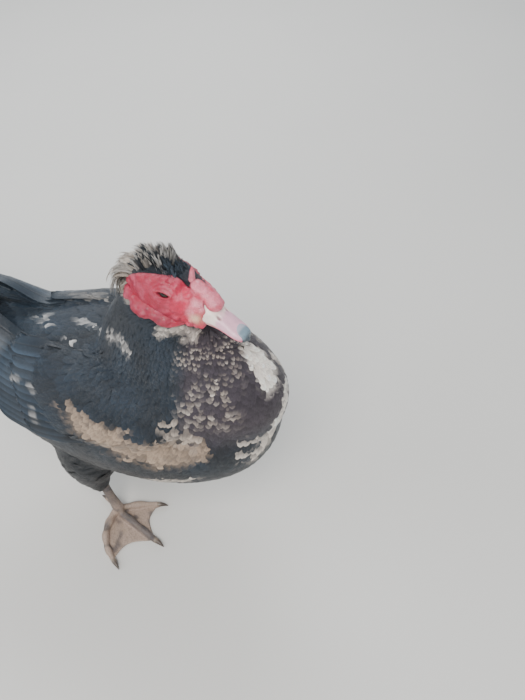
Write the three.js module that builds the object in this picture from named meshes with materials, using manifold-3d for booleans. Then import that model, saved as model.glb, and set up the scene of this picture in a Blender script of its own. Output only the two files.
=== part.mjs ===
// A standing muscovy drake, life size, as one still model in separate solids.
// Millimetres, +X towards the bill, +Y to the bird's left, +Z up, soles on z = 0.
import * as THREE from "three";
import { mergeVertices } from "three/addons/utils/BufferGeometryUtils.js";
import Module from "manifold-3d";

const wasm = await Module();
wasm.setup();

// Driving sizes of the bird
const GAP = 0.3;
const BED = 0.8;
const BREAST_X = 224;
const RUMP_X = -252;
const NAIL_X = 82.5;

// Where the bird's own frame lies in the part's frame, so that the origin is under the bird's middle
const MIDDLE = [98.7, 0, 0];

// Joining, cutting and closing helpers
const vec = (x, y, z) => new THREE.Vector3(x, y, z);
const lerp = THREE.MathUtils.lerp;
const rad = THREE.MathUtils.degToRad;
const smooth = (t) => THREE.MathUtils.smoothstep(t, 0, 1);

// A table of [key, value, value, ...] rows read smoothly at any key
function track(rows) {
  const keys = rows.map((r) => r[0]);
  return (at) => {
    const x = THREE.MathUtils.clamp(at, keys[0], keys.at(-1));
    let i = 0;
    while (i < keys.length - 2 && x > keys[i + 1]) i += 1;
    const h = keys[i + 1] - keys[i];
    const t = (x - keys[i]) / h;
    const slope = (k, c) => {
      const a = Math.max(k - 1, 0);
      const b = Math.min(k + 1, keys.length - 1);
      return (rows[b][c] - rows[a][c]) / (keys[b] - keys[a]);
    };
    return rows[i].slice(1).map((p, n) => {
      const q = rows[i + 1][n + 1];
      const m0 = slope(i, n + 1) * h;
      const m1 = slope(i + 1, n + 1) * h;
      const t2 = t * t;
      const t3 = t2 * t;
      const from = (2 * t3 - 3 * t2 + 1) * p + (t3 - 2 * t2 + t) * m0;
      return from + (3 * t2 - 2 * t3) * q + (t3 - t2) * m1;
    });
  };
}

// A closed three.js geometry as a solid, with its faces turned out
function solid(geometry) {
  const bare = new THREE.BufferGeometry().setAttribute("position", geometry.getAttribute("position"));
  if (geometry.index) bare.setIndex(geometry.index);
  const merged = mergeVertices(bare, 1e-3);
  const index = [];
  for (let i = 0; i < merged.index.count; i += 3) {
    const [a, b, c] = [0, 1, 2].map((k) => merged.index.getX(i + k));
    if (a !== b && b !== c && c !== a) index.push(a, b, c);
  }
  const vertProperties = new Float32Array(merged.attributes.position.array);
  const made = (order) => {
    const triVerts = new Uint32Array(order);
    return new wasm.Manifold(new wasm.Mesh({ numProp: 3, vertProperties, triVerts }));
  };
  const first = made(index);
  if (first.volume() > 0) return first;
  return made(index.map((_, i) => index[i - (i % 3) + [0, 2, 1][i % 3]]));
}

// A solid's largest closed surface as a three.js geometry
function geometryOf(made) {
  const whole = made.decompose().sort((a, b) => b.volume() - a.volume())[0];
  const mesh = whole.getMesh();
  const points = new Float32Array(mesh.numVert * 3);
  for (let i = 0; i < mesh.numVert; i += 1) {
    points.set(mesh.vertProperties.subarray(i * mesh.numProp, i * mesh.numProp + 3), i * 3);
  }
  return new THREE.BufferGeometry()
    .setAttribute("position", new THREE.BufferAttribute(points, 3))
    .setIndex(new THREE.BufferAttribute(mesh.triVerts, 1));
}

const union = (solids) => solids.reduce((a, b) => a.add(b));

// A closed form on a sphere's grid: at(s, angle) gives a point, s from 0 at one pole to 1 at the other
function loft(around, along, at) {
  const g = new THREE.SphereGeometry(1, around, along);
  const p = g.getAttribute("position");
  for (let i = 0; i < p.count; i += 1) {
    const s = Math.acos(THREE.MathUtils.clamp(p.getY(i), -1, 1)) / Math.PI;
    const ring = Math.hypot(p.getX(i), p.getZ(i));
    const angle = ring < 1e-6 ? 0 : Math.atan2(p.getZ(i), p.getX(i));
    const q = at(ring < 1e-6 ? Math.round(s) : s, angle);
    p.setXYZ(i, q.x, q.y, q.z);
  }
  return solid(g);
}

// A thin closed plate: at(s, t, side) gives a point, s along, t from -1 to 1 across, and side 1 on
// top and -1 below
function plate(along, across, at) {
  const points = [];
  const index = [];
  const id = (i, j, side) => (side > 0 ? 0 : (along + 1) * (across + 1)) + i * (across + 1) + j;
  for (const side of [1, -1]) {
    for (let i = 0; i <= along; i += 1) {
      for (let j = 0; j <= across; j += 1) {
        points.push(...at(i / along, (2 * j) / across - 1, side).toArray());
      }
    }
  }
  const quad = (a, b, c, d) => index.push(a, b, c, a, c, d);
  for (let i = 0; i < along; i += 1) {
    for (let j = 0; j < across; j += 1) {
      const top = [id(i, j, 1), id(i + 1, j, 1), id(i + 1, j + 1, 1), id(i, j + 1, 1)];
      const low = [id(i, j, -1), id(i + 1, j, -1), id(i + 1, j + 1, -1), id(i, j + 1, -1)];
      quad(...top);
      index.push(low[0], low[2], low[1], low[0], low[3], low[2]);
    }
  }
  for (let i = 0; i < along; i += 1) {
    quad(id(i, 0, 1), id(i, 0, -1), id(i + 1, 0, -1), id(i + 1, 0, 1));
    quad(id(i + 1, across, 1), id(i + 1, across, -1), id(i, across, -1), id(i, across, 1));
  }
  for (let j = 0; j < across; j += 1) {
    quad(id(0, j + 1, 1), id(0, j + 1, -1), id(0, j, -1), id(0, j, 1));
    quad(id(along, j, 1), id(along, j, -1), id(along, j + 1, -1), id(along, j + 1, 1));
  }
  const g = new THREE.BufferGeometry();
  g.setAttribute("position", new THREE.Float32BufferAttribute(points, 3));
  return solid(g.setIndex(index));
}

// A block between two corners, for cutting
function block(low, high) {
  const size = high.clone().sub(low);
  const g = new THREE.BoxGeometry(size.x, size.y, size.z);
  const mid = low.clone().add(high).multiplyScalar(0.5);
  return solid(g.translate(mid.x, mid.y, mid.z));
}

// The block on the far side of a plane through a point, facing a direction, for cutting
function beyond(point, facing, reach = 600) {
  const g = new THREE.BoxGeometry(reach, reach, reach).translate(0, 0, reach / 2);
  const turn = new THREE.Quaternion().setFromUnitVectors(vec(0, 0, 1), facing.clone().normalize());
  return solid(g.applyQuaternion(turn).translate(point.x, point.y, point.z));
}

// A body's ring is a little squarer than an oval
const squared = (angle) => 1 + 0.035 * Math.sin(2 * angle) ** 2;

// A ring of an oval body: angle 0 on the bird's left, 90 degrees on top, with its own half heights
// above and below
function oval(x, [zMid, wide, up, down], angle, grow = 0) {
  const c = Math.cos(angle) * squared(angle);
  const s = Math.sin(angle) * squared(angle);
  return vec(x, (wide + grow) * c, zMid + (s > 0 ? up + grow : down + grow) * s);
}

// Behind the shoulders the upper sides lean in like a roof, to take the folded wings
const PINCH = 0.34;
const pinched = (p, angle) => {
  const amount = PINCH * smooth((10 - p.x) / 150) * Math.max(0, Math.sin(angle)) ** 2;
  return p.setY(p.y * (1 - amount));
};

// Torso: rows of x, middle height, half width, half height above and below
const TORSO = track([
  [-252, 254, 0.1, 0.1, 0.1],
  [-240, 252, 22, 10, 18],
  [-200, 240, 45, 30, 38],
  [-150, 224, 66, 48, 62],
  [-90, 206, 86, 68, 84],
  [-20, 196, 98, 98, 98],
  [50, 194, 100, 108, 97],
  [110, 196, 94, 98, 93],
  [160, 200, 78, 80, 80],
  [195, 204, 55, 57, 62],
  [216, 208, 28, 30, 33],
  [224, 209, 0.1, 0.1, 0.1],
]);

// The hind body and tail swing a little to the bird's right, from this x back
const SWING_FROM = -20;
const SWING = 0.00055;
const SWING_REACH = 180;
const swung = (p) => {
  const back = Math.max(0, SWING_FROM - p.x);
  const curved = Math.min(back, SWING_REACH);
  return p.setY(p.y - SWING * curved * (2 * back - curved));
};

function torsoSolid(grow) {
  return loft(22, 18, (s, angle) => {
    const ends = grow * Math.cos(Math.PI * s);
    const x = lerp(BREAST_X, RUMP_X, 0.5 - 0.5 * Math.cos(Math.PI * s));
    const row = TORSO(x);
    const pole = s === 0 || s === 1;
    const p = pole ? vec(x, 0, row[0]) : pinched(oval(x, row, angle, grow), angle);
    return swung(p.setX(p.x + ends));
  });
}

// Neck: rows of place along, nape x and z, throat x and z, half width, middle y
const NECK = track([
  [0, 10, 262, 176, 150, 58, 0],
  [0.1, 12, 286, 208, 182, 76, 0],
  [0.22, 18, 308, 227, 222, 74, -1],
  [0.36, 27, 327, 233, 262, 63, -3],
  [0.5, 37, 344, 219, 300, 48, -6.5],
  [0.64, 46, 358, 190, 330, 38, -9],
  [0.76, 54, 370, 164, 352, 33, -11],
  [0.87, 64, 382, 147, 368, 29, -12.5],
  [1, 78, 394, 136, 384, 22, -13],
]);

function neckSolid(grow) {
  return loft(20, 11, (s, angle) => {
    const [napeX, napeZ, throatX, throatZ, wide, y] = NECK(0.5 - 0.5 * Math.cos(Math.PI * s));
    const middle = vec((napeX + throatX) / 2, y, (napeZ + throatZ) / 2);
    if (s === 0 || s === 1) return middle.setZ(middle.z + (s === 0 ? -grow : grow));
    const front = vec(throatX - napeX, 0, throatZ - napeZ);
    const deep = front.length() / 2 + grow;
    const round = Math.min(1, Math.sqrt(Math.sin(Math.PI * s) * 2.2));
    middle.addScaledVector(front.normalize(), -deep * round * Math.sin(angle));
    return middle.setY(middle.y + (wide + grow) * round * Math.cos(angle));
  });
}

// Head frame: x forward, y to the left and z up from a point midway between the eyes
const HEAD_AT = vec(119, -12, 398);
const HEAD_YAW = -9.6;
const HEAD_PITCH = 4.1;
const HEAD_ROLL = -6;
const headFrame = new THREE.Matrix4()
  .makeRotationFromEuler(new THREE.Euler(rad(HEAD_ROLL), rad(HEAD_PITCH), rad(HEAD_YAW), "ZYX"))
  .setPosition(HEAD_AT);
const inHead = (x, y, z) => vec(x, y, z).applyMatrix4(headFrame);

// Skull: rows of x, middle height, half width, half height above and below
const SKULL = track([
  [-46, -3, 0.1, 0.1, 0.1],
  [-43, -3, 11, 11, 11],
  [-34, -2, 19, 19, 20],
  [-18, -1, 25, 24, 26],
  [0, -1, 26.5, 24, 29],
  [18, -4, 24, 22, 27],
  [34, -7, 19, 19, 22],
  [46, -10, 15.5, 15.5, 17],
  [52, -11, 0.1, 0.1, 0.1],
]);

function skullSolid(grow, around = 20, along = 14, swell = () => 0) {
  return loft(around, along, (s, angle) => {
    const x = lerp(52, -46, 0.5 - 0.5 * Math.cos(Math.PI * s));
    const row = SKULL(x);
    if (s === 0 || s === 1) return inHead(x + grow * Math.cos(Math.PI * s), 0, row[0]);
    const p = oval(x, row, angle, grow);
    const out = oval(x, row, angle, grow + swell(p.x, p.z));
    return inHead(out.x + grow * Math.cos(Math.PI * s), out.y, out.z);
  });
}

// Bare face: a lobed patch of skin on each cheek, in head x and z
const FACE_OUTLINE = [
  [44, 8], [34, 14], [22, 18], [4, 20.5], [-15, 18], [-28, 12], [-38, 4], [-46, -6], [-47, -17],
  [-40, -22], [-33, -20], [-28, -25], [-20, -29], [-11, -29], [-4, -28], [3, -32], [13, -34],
  [24, -31], [35, -28], [46, -24], [50, -10],
];
const FACE_RISE = 2.2;
const FACE_BED = 3;

// Folds and bulbs of the bare skin: head x, head z, radius and height of each
const BULBS = [
  [-41, -15, 7, 2.4], [-40, -4, 7, 2.2], [-31, -13, 7, 1.8], [-24, -22, 7, 2.4], [-14, -25, 7, 2.2],
  [-3, -24, 6, 1.8], [8, -28, 8, 2.8], [20, -27, 7, 2.6], [33, -24, 7, 2.4], [45, -19, 7, 2.2],
  [-33, 6, 6, 1.8], [-23, 12, 6, 2], [-10, 16, 6, 1.6], [4, 17, 6, 1.8], [18, 15, 6, 2.2],
  [31, 11, 7, 2.6], [-24, 2, 7, 1.2], [-16, -9, 7, 1.4], [-2, -12, 6, 1.2], [10, -14, 6, 1.6],
  [22, -6, 7, 1.6], [32, -2, 6, 1.8], [22, -17, 7, 1.8], [38, -14, 6, 2],
];
const bulbAt = (x, z, [bx, bz, r, h]) => {
  const away = (x - bx) ** 2 + (z - bz) ** 2;
  return h * Math.exp(-away / (0.5 * r * r));
};
const bulbsAt = (x, z) => Math.max(0, ...BULBS.map((bulb) => bulbAt(x, z, bulb)));

// The outline as a prism across one side of the head
function facePrism(side, grow) {
  const ring = new THREE.CatmullRomCurve3(FACE_OUTLINE.map(([x, z]) => vec(x, z, 0)), true);
  const points = ring.getPoints(24).slice(0, -1);
  const middle = points.reduce((a, b) => a.clone().add(b), vec(0, 0, 0)).divideScalar(points.length);
  const outer = points.map((p) => p.clone().addScaledVector(p.clone().sub(middle).normalize(), grow));
  const shape = new THREE.Shape(outer.map((p) => new THREE.Vector2(p.x, p.y)));
  const g = new THREE.ExtrudeGeometry(shape, { depth: 40, bevelEnabled: false, steps: 1 });
  g.rotateX(Math.PI / 2).translate(0, side > 0 ? 44 : -4, 0);
  return solid(g.applyMatrix4(headFrame));
}

const bulbousSkull = skullSolid(FACE_RISE, 22, 18, bulbsAt);
const facePocket = (side) => facePrism(side, GAP).subtract(skullSolid(-FACE_BED - GAP, 10, 7));

// Eye: a ball sunk in the cheek, in lids that leave a long slit
const EYE = { x: 8, y: 22.4, z: 6, radius: 6.2 };
const SLIT = { long: 6, high: 3.1 };
const LID = 1.6;

// The face lies over the skull and over the top of the neck below it
function faceSolid(side) {
  const lids = eyeSolid(side, LID).intersect(skullSolid(-FACE_BED, 10, 7).add(facePrism(side, 0)));
  const slit = lump(EYE.x, side * (EYE.y + 8), EYE.z, SLIT.long, 8, SLIT.high, 8);
  const skin = bulbousSkull.add(neckSolid(FACE_RISE + 0.8)).intersect(facePrism(side, 0)).add(lids);
  return skin.subtract(skullSolid(-FACE_BED, 10, 7)).subtract(slit);
}

function eyeSolid(side, grow) {
  return loft(12, 6, (s, angle) => {
    const r = EYE.radius + grow;
    const ring = r * Math.sin(Math.PI * s);
    const out = EYE.y + r * 0.9 * Math.cos(Math.PI * s);
    return inHead(EYE.x + ring * Math.cos(angle), side * out, EYE.z + ring * Math.sin(angle));
  });
}

// The knob of bare skin over the root of the bill: lumps at x, y, z with three radii
const KNOB = [
  [25, 0, 22, 3.2, 3.4, 11],
  [32, 0, 14, 9, 10, 8],
  [39, 0.5, 11.5, 9, 10.5, 8],
  [46, 1, 8.5, 9, 10.5, 7.5],
  [53, -1, 3, 8, 10, 7],
];

function knobSolid(grow) {
  return union(KNOB.map(([x, y, z, ...r]) => lump(x, y, z, ...r.map((v) => v + grow))));
}

// Bill: rows of x, middle height, half width, half height above and below, in the head frame
const BILL = track([
  [40, -11, 0.1, 0.1, 0.1],
  [40.5, -11, 15, 15, 13],
  [50, -12, 14, 13.5, 12],
  [60, -14.5, 12.2, 10, 9.5],
  [70, -17.2, 11.6, 8.2, 7.8],
  [80, -20, 11.6, 6.6, 6.2],
  [87, -22, 10, 5.4, 5.2],
  [91, -23, 6, 4, 4],
  [92.5, -24, 0.1, 0.1, 0.1],
]);

function billSolid() {
  return loft(18, 12, (s, angle) => {
    const x = lerp(92.5, 40, 0.5 - 0.5 * Math.cos(Math.PI * s));
    const row = BILL(x);
    const p = s === 0 || s === 1 ? vec(x, 0, row[0]) : oval(x, row, angle);
    return inHead(p.x, p.y, p.z);
  });
}

// Everything below the mouth line, which follows the bill down; by moves the line up or down
function belowMouth(by) {
  return plate(8, 1, (s, t, side) => {
    const x = lerp(36, 104, s);
    const z = BILL(Math.min(x, 92))[0] - lerp(3.2, 0.8, smooth(s)) + by;
    return inHead(x, t * 30, side > 0 ? z : -80);
  });
}

// A nostril on each side, a slot ahead of the knob
const NOSTRIL = { x: 62, y: 7.6, z: -7.6, long: 3.8, wide: 1.8, high: 2 };
const nostril = (side) =>
  lump(NOSTRIL.x, side * NOSTRIL.y, NOSTRIL.z, NOSTRIL.long, NOSTRIL.wide, NOSTRIL.high, 5);

// Wing: a folded wing lies on the body's side; rows of x, middle height, half width and heights
const WRAP = track([
  [-330, 298, 28, 14, 12],
  [-290, 289, 37, 19, 18],
  [-240, 274, 48, 30, 24],
  [-190, 252, 60, 46, 42],
  [-140, 228, 72, 58, 62],
  [-90, 208, 88, 74, 84],
  [-20, 197, 100, 101, 98],
  [50, 195, 102, 111, 98],
  [110, 197, 96, 101, 94],
  [156, 199, 84, 86, 86],
]);
const HUMP = 28;

// Towards the wing tips the wrap is flatter, between two angles above level
const FLAT = 0.8;
const FLAT_FROM = rad(-4);
const FLAT_TO = rad(84);

// A point on one side's wrap: up is the angle above level, out the distance from the wrap, raised 0
// where the hump of the folded wing is left out
function onWrap(side, x, up, out, raised = 1) {
  const [zMid, wide, over, under] = WRAP(x);
  const flat = FLAT * smooth((-20 - x) / 130);
  const k = (up - FLAT_FROM) / (FLAT_TO - FLAT_FROM);
  const ring = (a) => {
    const high = a > 0 ? over : under;
    return vec(0, wide * Math.cos(a), high * Math.sin(a)).multiplyScalar(squared(a));
  };
  const low = ring(FLAT_FROM);
  const chord = ring(FLAT_TO).sub(low);
  const at = ring(up).lerp(low.clone().addScaledVector(chord, k), flat);
  const away = vec(0, Math.cos(up) / wide, Math.sin(up) / over).normalize();
  const lift = away.lerp(vec(0, chord.z, -chord.y).normalize(), flat).multiplyScalar(out);
  const ridge = HUMP * smooth((-80 - x) / 60) * smooth((x + 340) / 120) * smooth(up / rad(64));
  return swung(vec(x, side * (at.y + lift.y), zMid + at.z + lift.z + ridge * raised));
}

// The wing's fleshy part: rows of x, lower edge and upper edge in degrees above level, thickness
const WING = track([
  [-236, 44, 60, 0.8],
  [-226, 30, 74, 3],
  [-180, 14, 80, 6],
  [-110, 4, 74, 9],
  [-40, 6, 68, 12],
  [40, 10, 64, 13],
  [100, 16, 60, 12],
  [134, 26, 54, 10],
  [152, 36, 44, 2],
]);
const WING_REAR = -236;
const WING_FRONT = 152;

function wingCore(side) {
  return loft(10, 9, (s, angle) => {
    const x = lerp(WING_FRONT, WING_REAR, 0.5 - 0.5 * Math.cos(Math.PI * s));
    const [low, high, thick] = WING(x);
    const up = rad(lerp(low, high, 0.5 + 0.5 * Math.cos(angle)));
    const lens = 0.5 + 0.5 * Math.sin(angle);
    if (s === 0 || s === 1) return onWrap(side, x, rad((low + high) / 2), 0);
    return onWrap(side, x, up, thick * (lens - 0.3), lens);
  });
}

// Feather vanes: their thickness, and how far one edge of each lifts over the next one's
const VANE = 0.8;
const SHINGLE = 2.2;

// How wide a vane is along its length, from its root to its round tip
const vaneWidth = (s) => {
  const tip = Math.max(0, (s - 0.72) / 0.3);
  return lerp(0.7, 1, smooth(s / 0.45)) * Math.sqrt(1 - tip ** 2);
};

// Tiers of wing vanes: how many, and for the lowest and highest of the tier the root and tip as
// x, degrees above level and height over the wrap; then half width and rows along
const WING_TIERS = {
  primaries: {
    count: 4, half: 14, rows: 3,
    low: { root: [-190, 14, 1.2], tip: [-290, 20, 2.6] },
    high: { root: [-200, 38, 1.2], tip: [-330, 46, 3.4] },
  },
  secondaries: {
    count: 6, half: 16, rows: 3,
    low: { root: [-80, 8, 3], tip: [-164, 3, 6] },
    high: { root: [-120, 64, 3], tip: [-258, 64, 8] },
  },
  coverts: {
    count: 4, half: 22, rows: 3,
    low: { root: [12, 16, 5], tip: [-70, 11, 11] },
    high: { root: [-30, 58, 5], tip: [-124, 60, 12.5] },
  },
};

function wingVane(side, { low, high, half: halfWidth, rows }, k) {
  const between = (end, i) => lerp(low[end][i], high[end][i], k);
  return plate(rows, 1, (s, t, face) => {
    const x = lerp(between("root", 0), between("tip", 0), s);
    const [, wide, over] = WRAP(x);
    const across = (t * halfWidth * vaneWidth(s)) / ((wide + over) / 2);
    const up = rad(lerp(between("root", 1), between("tip", 1), s)) + across;
    const out = lerp(between("root", 2), between("tip", 2), s) - SHINGLE * t + (face * VANE) / 2;
    return onWrap(side, x, up, out);
  });
}

function wingSolid(side) {
  const vanes = Object.values(WING_TIERS).flatMap((tier) =>
    Array.from({ length: tier.count }, (_, i) => wingVane(side, tier, i / (tier.count - 1))));
  return union([wingCore(side), ...vanes]);
}

// Tail root: rows of x, middle height, half width, half thickness
const TAIL = track([
  [-256, 264, 0.1, 0.1],
  [-254, 264, 40, 12],
  [-240, 261, 44, 15],
  [-222, 255, 42, 18],
  [-190, 246, 20, 12],
  [-186, 245, 0.1, 0.1],
]);
const TAIL_BOW = 5;
const TAIL_RISE = 0.27;

function tailCore(grow) {
  return loft(14, 8, (s, angle) => {
    const x = lerp(-186, -256, 0.5 - 0.5 * Math.cos(Math.PI * s));
    const [z, ...size] = TAIL(x);
    const [wide, thick] = size.map((r) => r + grow);
    if (s === 0 || s === 1) return swung(vec(x, 0, z));
    const bow = TAIL_BOW * Math.cos(angle) ** 2 * (wide / 66);
    return swung(vec(x, wide * Math.cos(angle), z - bow + thick * Math.sin(angle)));
  });
}

// Fans of tail vanes: how many, length of the middle one and of the outermost, spread in degrees,
// half width, height over the tail's middle, the step between one vane and the next
const FAN_ROOT = -226;
const TAIL_FANS = {
  rectrices: { count: 11, long: 204, short: 160, spread: 25, half: 18, lift: 5, step: 1.3, rows: 4 },
  upper: { count: 5, long: 84, short: 66, spread: 18, half: 15, lift: 9.5, step: 1.5, rows: 3 },
  under: { count: 5, long: 96, short: 76, spread: 24, half: 18, lift: -13, step: -1.5, rows: 3 },
};

// One vane of a fan; the level counts down from the middle one, left and right in turn
function tailVane({ long, short, spread, half: halfWidth, lift, step, rows }, k, level) {
  const length = lerp(long, short, k * k);
  const angle = rad(spread * k);
  return plate(rows, 1, (s, t, face) => {
    const d = length * s;
    const w = t * halfWidth * vaneWidth(s);
    const x = FAN_ROOT - d * Math.cos(angle) + w * Math.sin(angle);
    const y = d * Math.sin(angle) + w * Math.cos(angle) + 18 * k;
    const z = 256 + TAIL_RISE * (-225 - x) + lift - step * level - TAIL_BOW * (y / 66) ** 2;
    return swung(vec(x, y, z + (face * VANE) / 2));
  });
}

function fan(which) {
  const { count } = TAIL_FANS[which];
  return Array.from({ length: count }, (_, i) => {
    const k = (2 * i) / (count - 1) - 1;
    const order = Math.abs(2 * i - (count - 1)) - (k > 0 ? 1 : 0);
    return tailVane(TAIL_FANS[which], k, Math.max(0, order));
  });
}

const tailSolid = () => union([tailCore(0), ...fan("rectrices"), ...fan("upper"), ...fan("under")]);

// Crest: a low bed over the crown and nape, in the head frame; rows of x, middle height, half width
// and heights
const CREST = track([
  [-57, -8, 0.1, 0.1, 0.1],
  [-54, -8, 8, 12, 10],
  [-44, -4, 14, 20, 14],
  [-26, 6, 15, 22, 10],
  [-6, 12, 15, 17, 10],
  [12, 13, 12, 14, 10],
  [22, 13, 7, 8, 6],
  [26, 13, 0.1, 0.1, 0.1],
]);

function crestBed(grow) {
  return loft(12, 8, (s, angle) => {
    const x = lerp(26, -57, 0.5 - 0.5 * Math.cos(Math.PI * s));
    const row = CREST(x);
    const p = s === 0 || s === 1 ? vec(x, 0, row[0]) : oval(x, row, angle, grow);
    return inHead(p.x, p.y, p.z);
  });
}

// Locks stand on an arc from the forehead over the crown to the nape: degrees round the arc from the
// bill's way, the lean back of the lock from straight out, its length, and how many stand abreast
const LOCK_ROWS = [
  [62, 48, 11, 3], [86, 36, 17, 3], [110, 28, 20, 4], [132, 24, 23, 3], [152, 20, 27, 4],
  [172, 22, 30, 3], [192, 22, 32, 4], [210, 16, 28, 2],
];
const LOCK_SPREAD = 58;
const ARC = { x: -10, z: -2, long: 38, high: 25, wide: 15 };

// Even noise from 0 to 1 with a fixed start
function seeded(seed) {
  let state = seed;
  return () => {
    state = (state * 16807) % 2147483647;
    return state / 2147483647;
  };
}

function lockSolid(round, lean, length, abreast, random) {
  const a = rad(round);
  const b = rad(round + lean * (0.8 + 0.4 * random()));
  const side = rad(abreast * LOCK_SPREAD + 8 * (random() - 0.5));
  const reach = length * (0.9 + 0.26 * random());
  const [x, z] = [ARC.x + ARC.long * Math.cos(a) * 0.9, ARC.z + ARC.high * Math.sin(a) * 0.9];
  const base = vec(x, ARC.wide * Math.sin(side), z);
  const way = vec(Math.cos(b), 0.55 * Math.sin(side), Math.sin(b)).normalize();
  const curl = vec(-0.28, 0, -0.12);
  const rows = [-0.2, 0.3, 0.65, 1].map((d, i) => {
    const p = base.clone().addScaledVector(way, reach * d).addScaledVector(curl, reach * d * d);
    const q = inHead(p.x, p.y, p.z);
    return [q.x, q.y, q.z, [3, 3.6, 3, 0.8][i], [2, 2.3, 1.8, 0.5][i]];
  });
  return limb(rows, 4, 3);
}

function crestSolid() {
  const random = seeded(4609);
  const locks = LOCK_ROWS.flatMap(([round, lean, length, count]) => {
    const abreast = (i) => i / (count - 1) - 0.5;
    const one = (_, i) => lockSolid(round, lean, length, abreast(i), random);
    return Array.from({ length: count }, one);
  });
  return union([crestBed(0), ...locks]);
}

// A round lump of skin in the head frame
function lump(x, y, z, rx, ry, rz, turns = 8) {
  return loft(turns, Math.round(turns * 0.6), (s, angle) => {
    const ring = Math.sin(Math.PI * s);
    const [across, up] = [ry * ring * Math.cos(angle), rz * ring * Math.sin(angle)];
    return inHead(x + rx * Math.cos(Math.PI * s), y + across, z + up);
  });
}

// A tube along a line of points with a size at each: [x, y, z, half width, half height]
function limb(stations, around, along, grow = 0) {
  const line = new THREE.CatmullRomCurve3(stations.map(([x, y, z]) => vec(x, y, z)));
  const size = track(stations.map(([, , , w, h], i) => [i / (stations.length - 1), w, h]));
  return loft(around, along, (s, angle) => {
    const t = 0.5 - 0.5 * Math.cos(Math.PI * s);
    const middle = line.getPoint(t);
    if (s === 0 || s === 1) return middle;
    const way = line.getTangent(t);
    const across = new THREE.Vector3().crossVectors(vec(0, 0, 1), way);
    if (across.length() < 0.3) across.set(0, 1, 0);
    across.normalize();
    const lift = new THREE.Vector3().crossVectors(way, across).normalize();
    const [w, h] = size(t).map((r) => r + grow);
    const round = Math.min(1, Math.sqrt(Math.sin(Math.PI * s) * 1.6));
    middle.addScaledVector(across, w * round * Math.cos(angle));
    return middle.addScaledVector(lift, h * round * Math.sin(angle));
  });
}

// Legs: the near edge of each station is mirrored for the other side
const THIGH = [
  [-8, 54, 168, 34, 42],
  [-16, 60, 120, 33, 44],
  [-19, 63, 90, 26, 34],
  [-14, 64, 66, 16, 20],
  [-8, 64, 46, 8, 9],
];
const SHANK = [
  [-10, 63, 86, 6, 6],
  [-11, 63, 74, 8.5, 9],
  [-7, 64, 58, 6, 7],
  [-2, 65, 40, 5.4, 6.6],
  [4, 66, 22, 6.4, 7.4],
  [9, 67, 10, 8, 7],
  [12, 67, 5, 6, 5],
];

// Toes, from the joint under the shank: the tip's place, half width, the number of joints and how far
// the toe bows away from a straight line
const TOE_ROOT = vec(4, 67, 6.5);
const TOES = {
  outer: { tip: vec(40, 136, 3.6), wide: 4.6, joints: 4, bow: 13 },
  middle: { tip: vec(78, 90, 3.6), wide: 5, joints: 3, bow: 0 },
  inner: { tip: vec(55, 39, 3.6), wide: 4.6, joints: 2, bow: -3 },
};
for (const toe of Object.values(TOES)) toe.root = TOE_ROOT;
const HIND_TOE = { root: vec(4, 62, 12), tip: vec(-17, 56, 4.5), wide: 3.4, bow: 0 };
const HIND_ROWS = [
  [8, 64, 12, 4.4, 4.4],
  [-2, 61, 9, 4, 4.6],
  [-13, 57, 5, 3.4, 4],
  [-22, 54, 4, 2.8, 3],
];

// A claw from inside the toe to its point: how far along, the rise over the tip, the size against
// the toe's
const CLAW = [
  [-4, 0.4, 0.74],
  [0, 0.8, 0.74],
  [4, 0.8, 0.58],
  [8, -0.4, 0.36],
  [12, -2.2, 0.1],
];
const mirrored = (rows, side) => rows.map(([x, y, ...rest]) => [x, side * y, ...rest]);
const sided = (p, side) => vec(p.x, side * p.y, p.z);

// A place on a toe's line, t from 0 at its root to 1 at its tip
function toeAt(side, { root: a, tip: b, bow }, t) {
  const across = vec(a.y - b.y, b.x - a.x, 0).normalize();
  const p = a.clone().lerp(b, t).addScaledVector(across, bow * Math.sin(Math.PI * t));
  return sided(p, side);
}

function toeSolid(side, toe) {
  const along = 6;
  const rows = [];
  for (let i = 0; i <= along; i += 1) {
    const t = i / along;
    const p = toeAt(side, toe, t * 1.06);
    const knuckle = 1 + 0.16 * Math.cos(2 * Math.PI * t * toe.joints);
    const w = toe.wide * lerp(1.2, 0.8, t) * knuckle;
    rows.push([p.x, p.y, lerp(5.5, 3, t), w, lerp(6.5, 4.4, t) * knuckle]);
  }
  return limb(rows, 6, 6);
}

// The skin between two toes, its free edge drawn in
function webSolid(side, one, two) {
  const swap = side > 0 ? 1 : -1;
  return plate(3, 4, (s, t, face) => {
    const k = 0.5 + 0.5 * t * swap;
    const drawn = 1 - 0.17 * Math.sin(Math.PI * k) - 0.04;
    const reach = lerp(0.06, drawn, s);
    const at = toeAt(side, one, reach).lerp(toeAt(side, two, reach), k);
    const sag = 1.2 * Math.sin(Math.PI * k);
    return at.setZ((face > 0 ? 3.1 : 1.1) - sag * 0.5);
  });
}

// The plane across a toe's tip, where its claw begins
function tipPlane(side, toe) {
  const from = toeAt(side, toe, 0.94);
  const at = sided(toe.tip, side);
  return { at, facing: at.clone().sub(from).setZ(0).normalize() };
}

function clawSolid(side, toe) {
  const { at, facing } = tipPlane(side, toe);
  const rows = CLAW.map(([d, rise, size]) => {
    const p = at.clone().addScaledVector(facing, d);
    return [p.x, p.y, at.z + rise, toe.wide * size, toe.wide * size];
  });
  return limb(rows, 6, 4);
}

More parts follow.
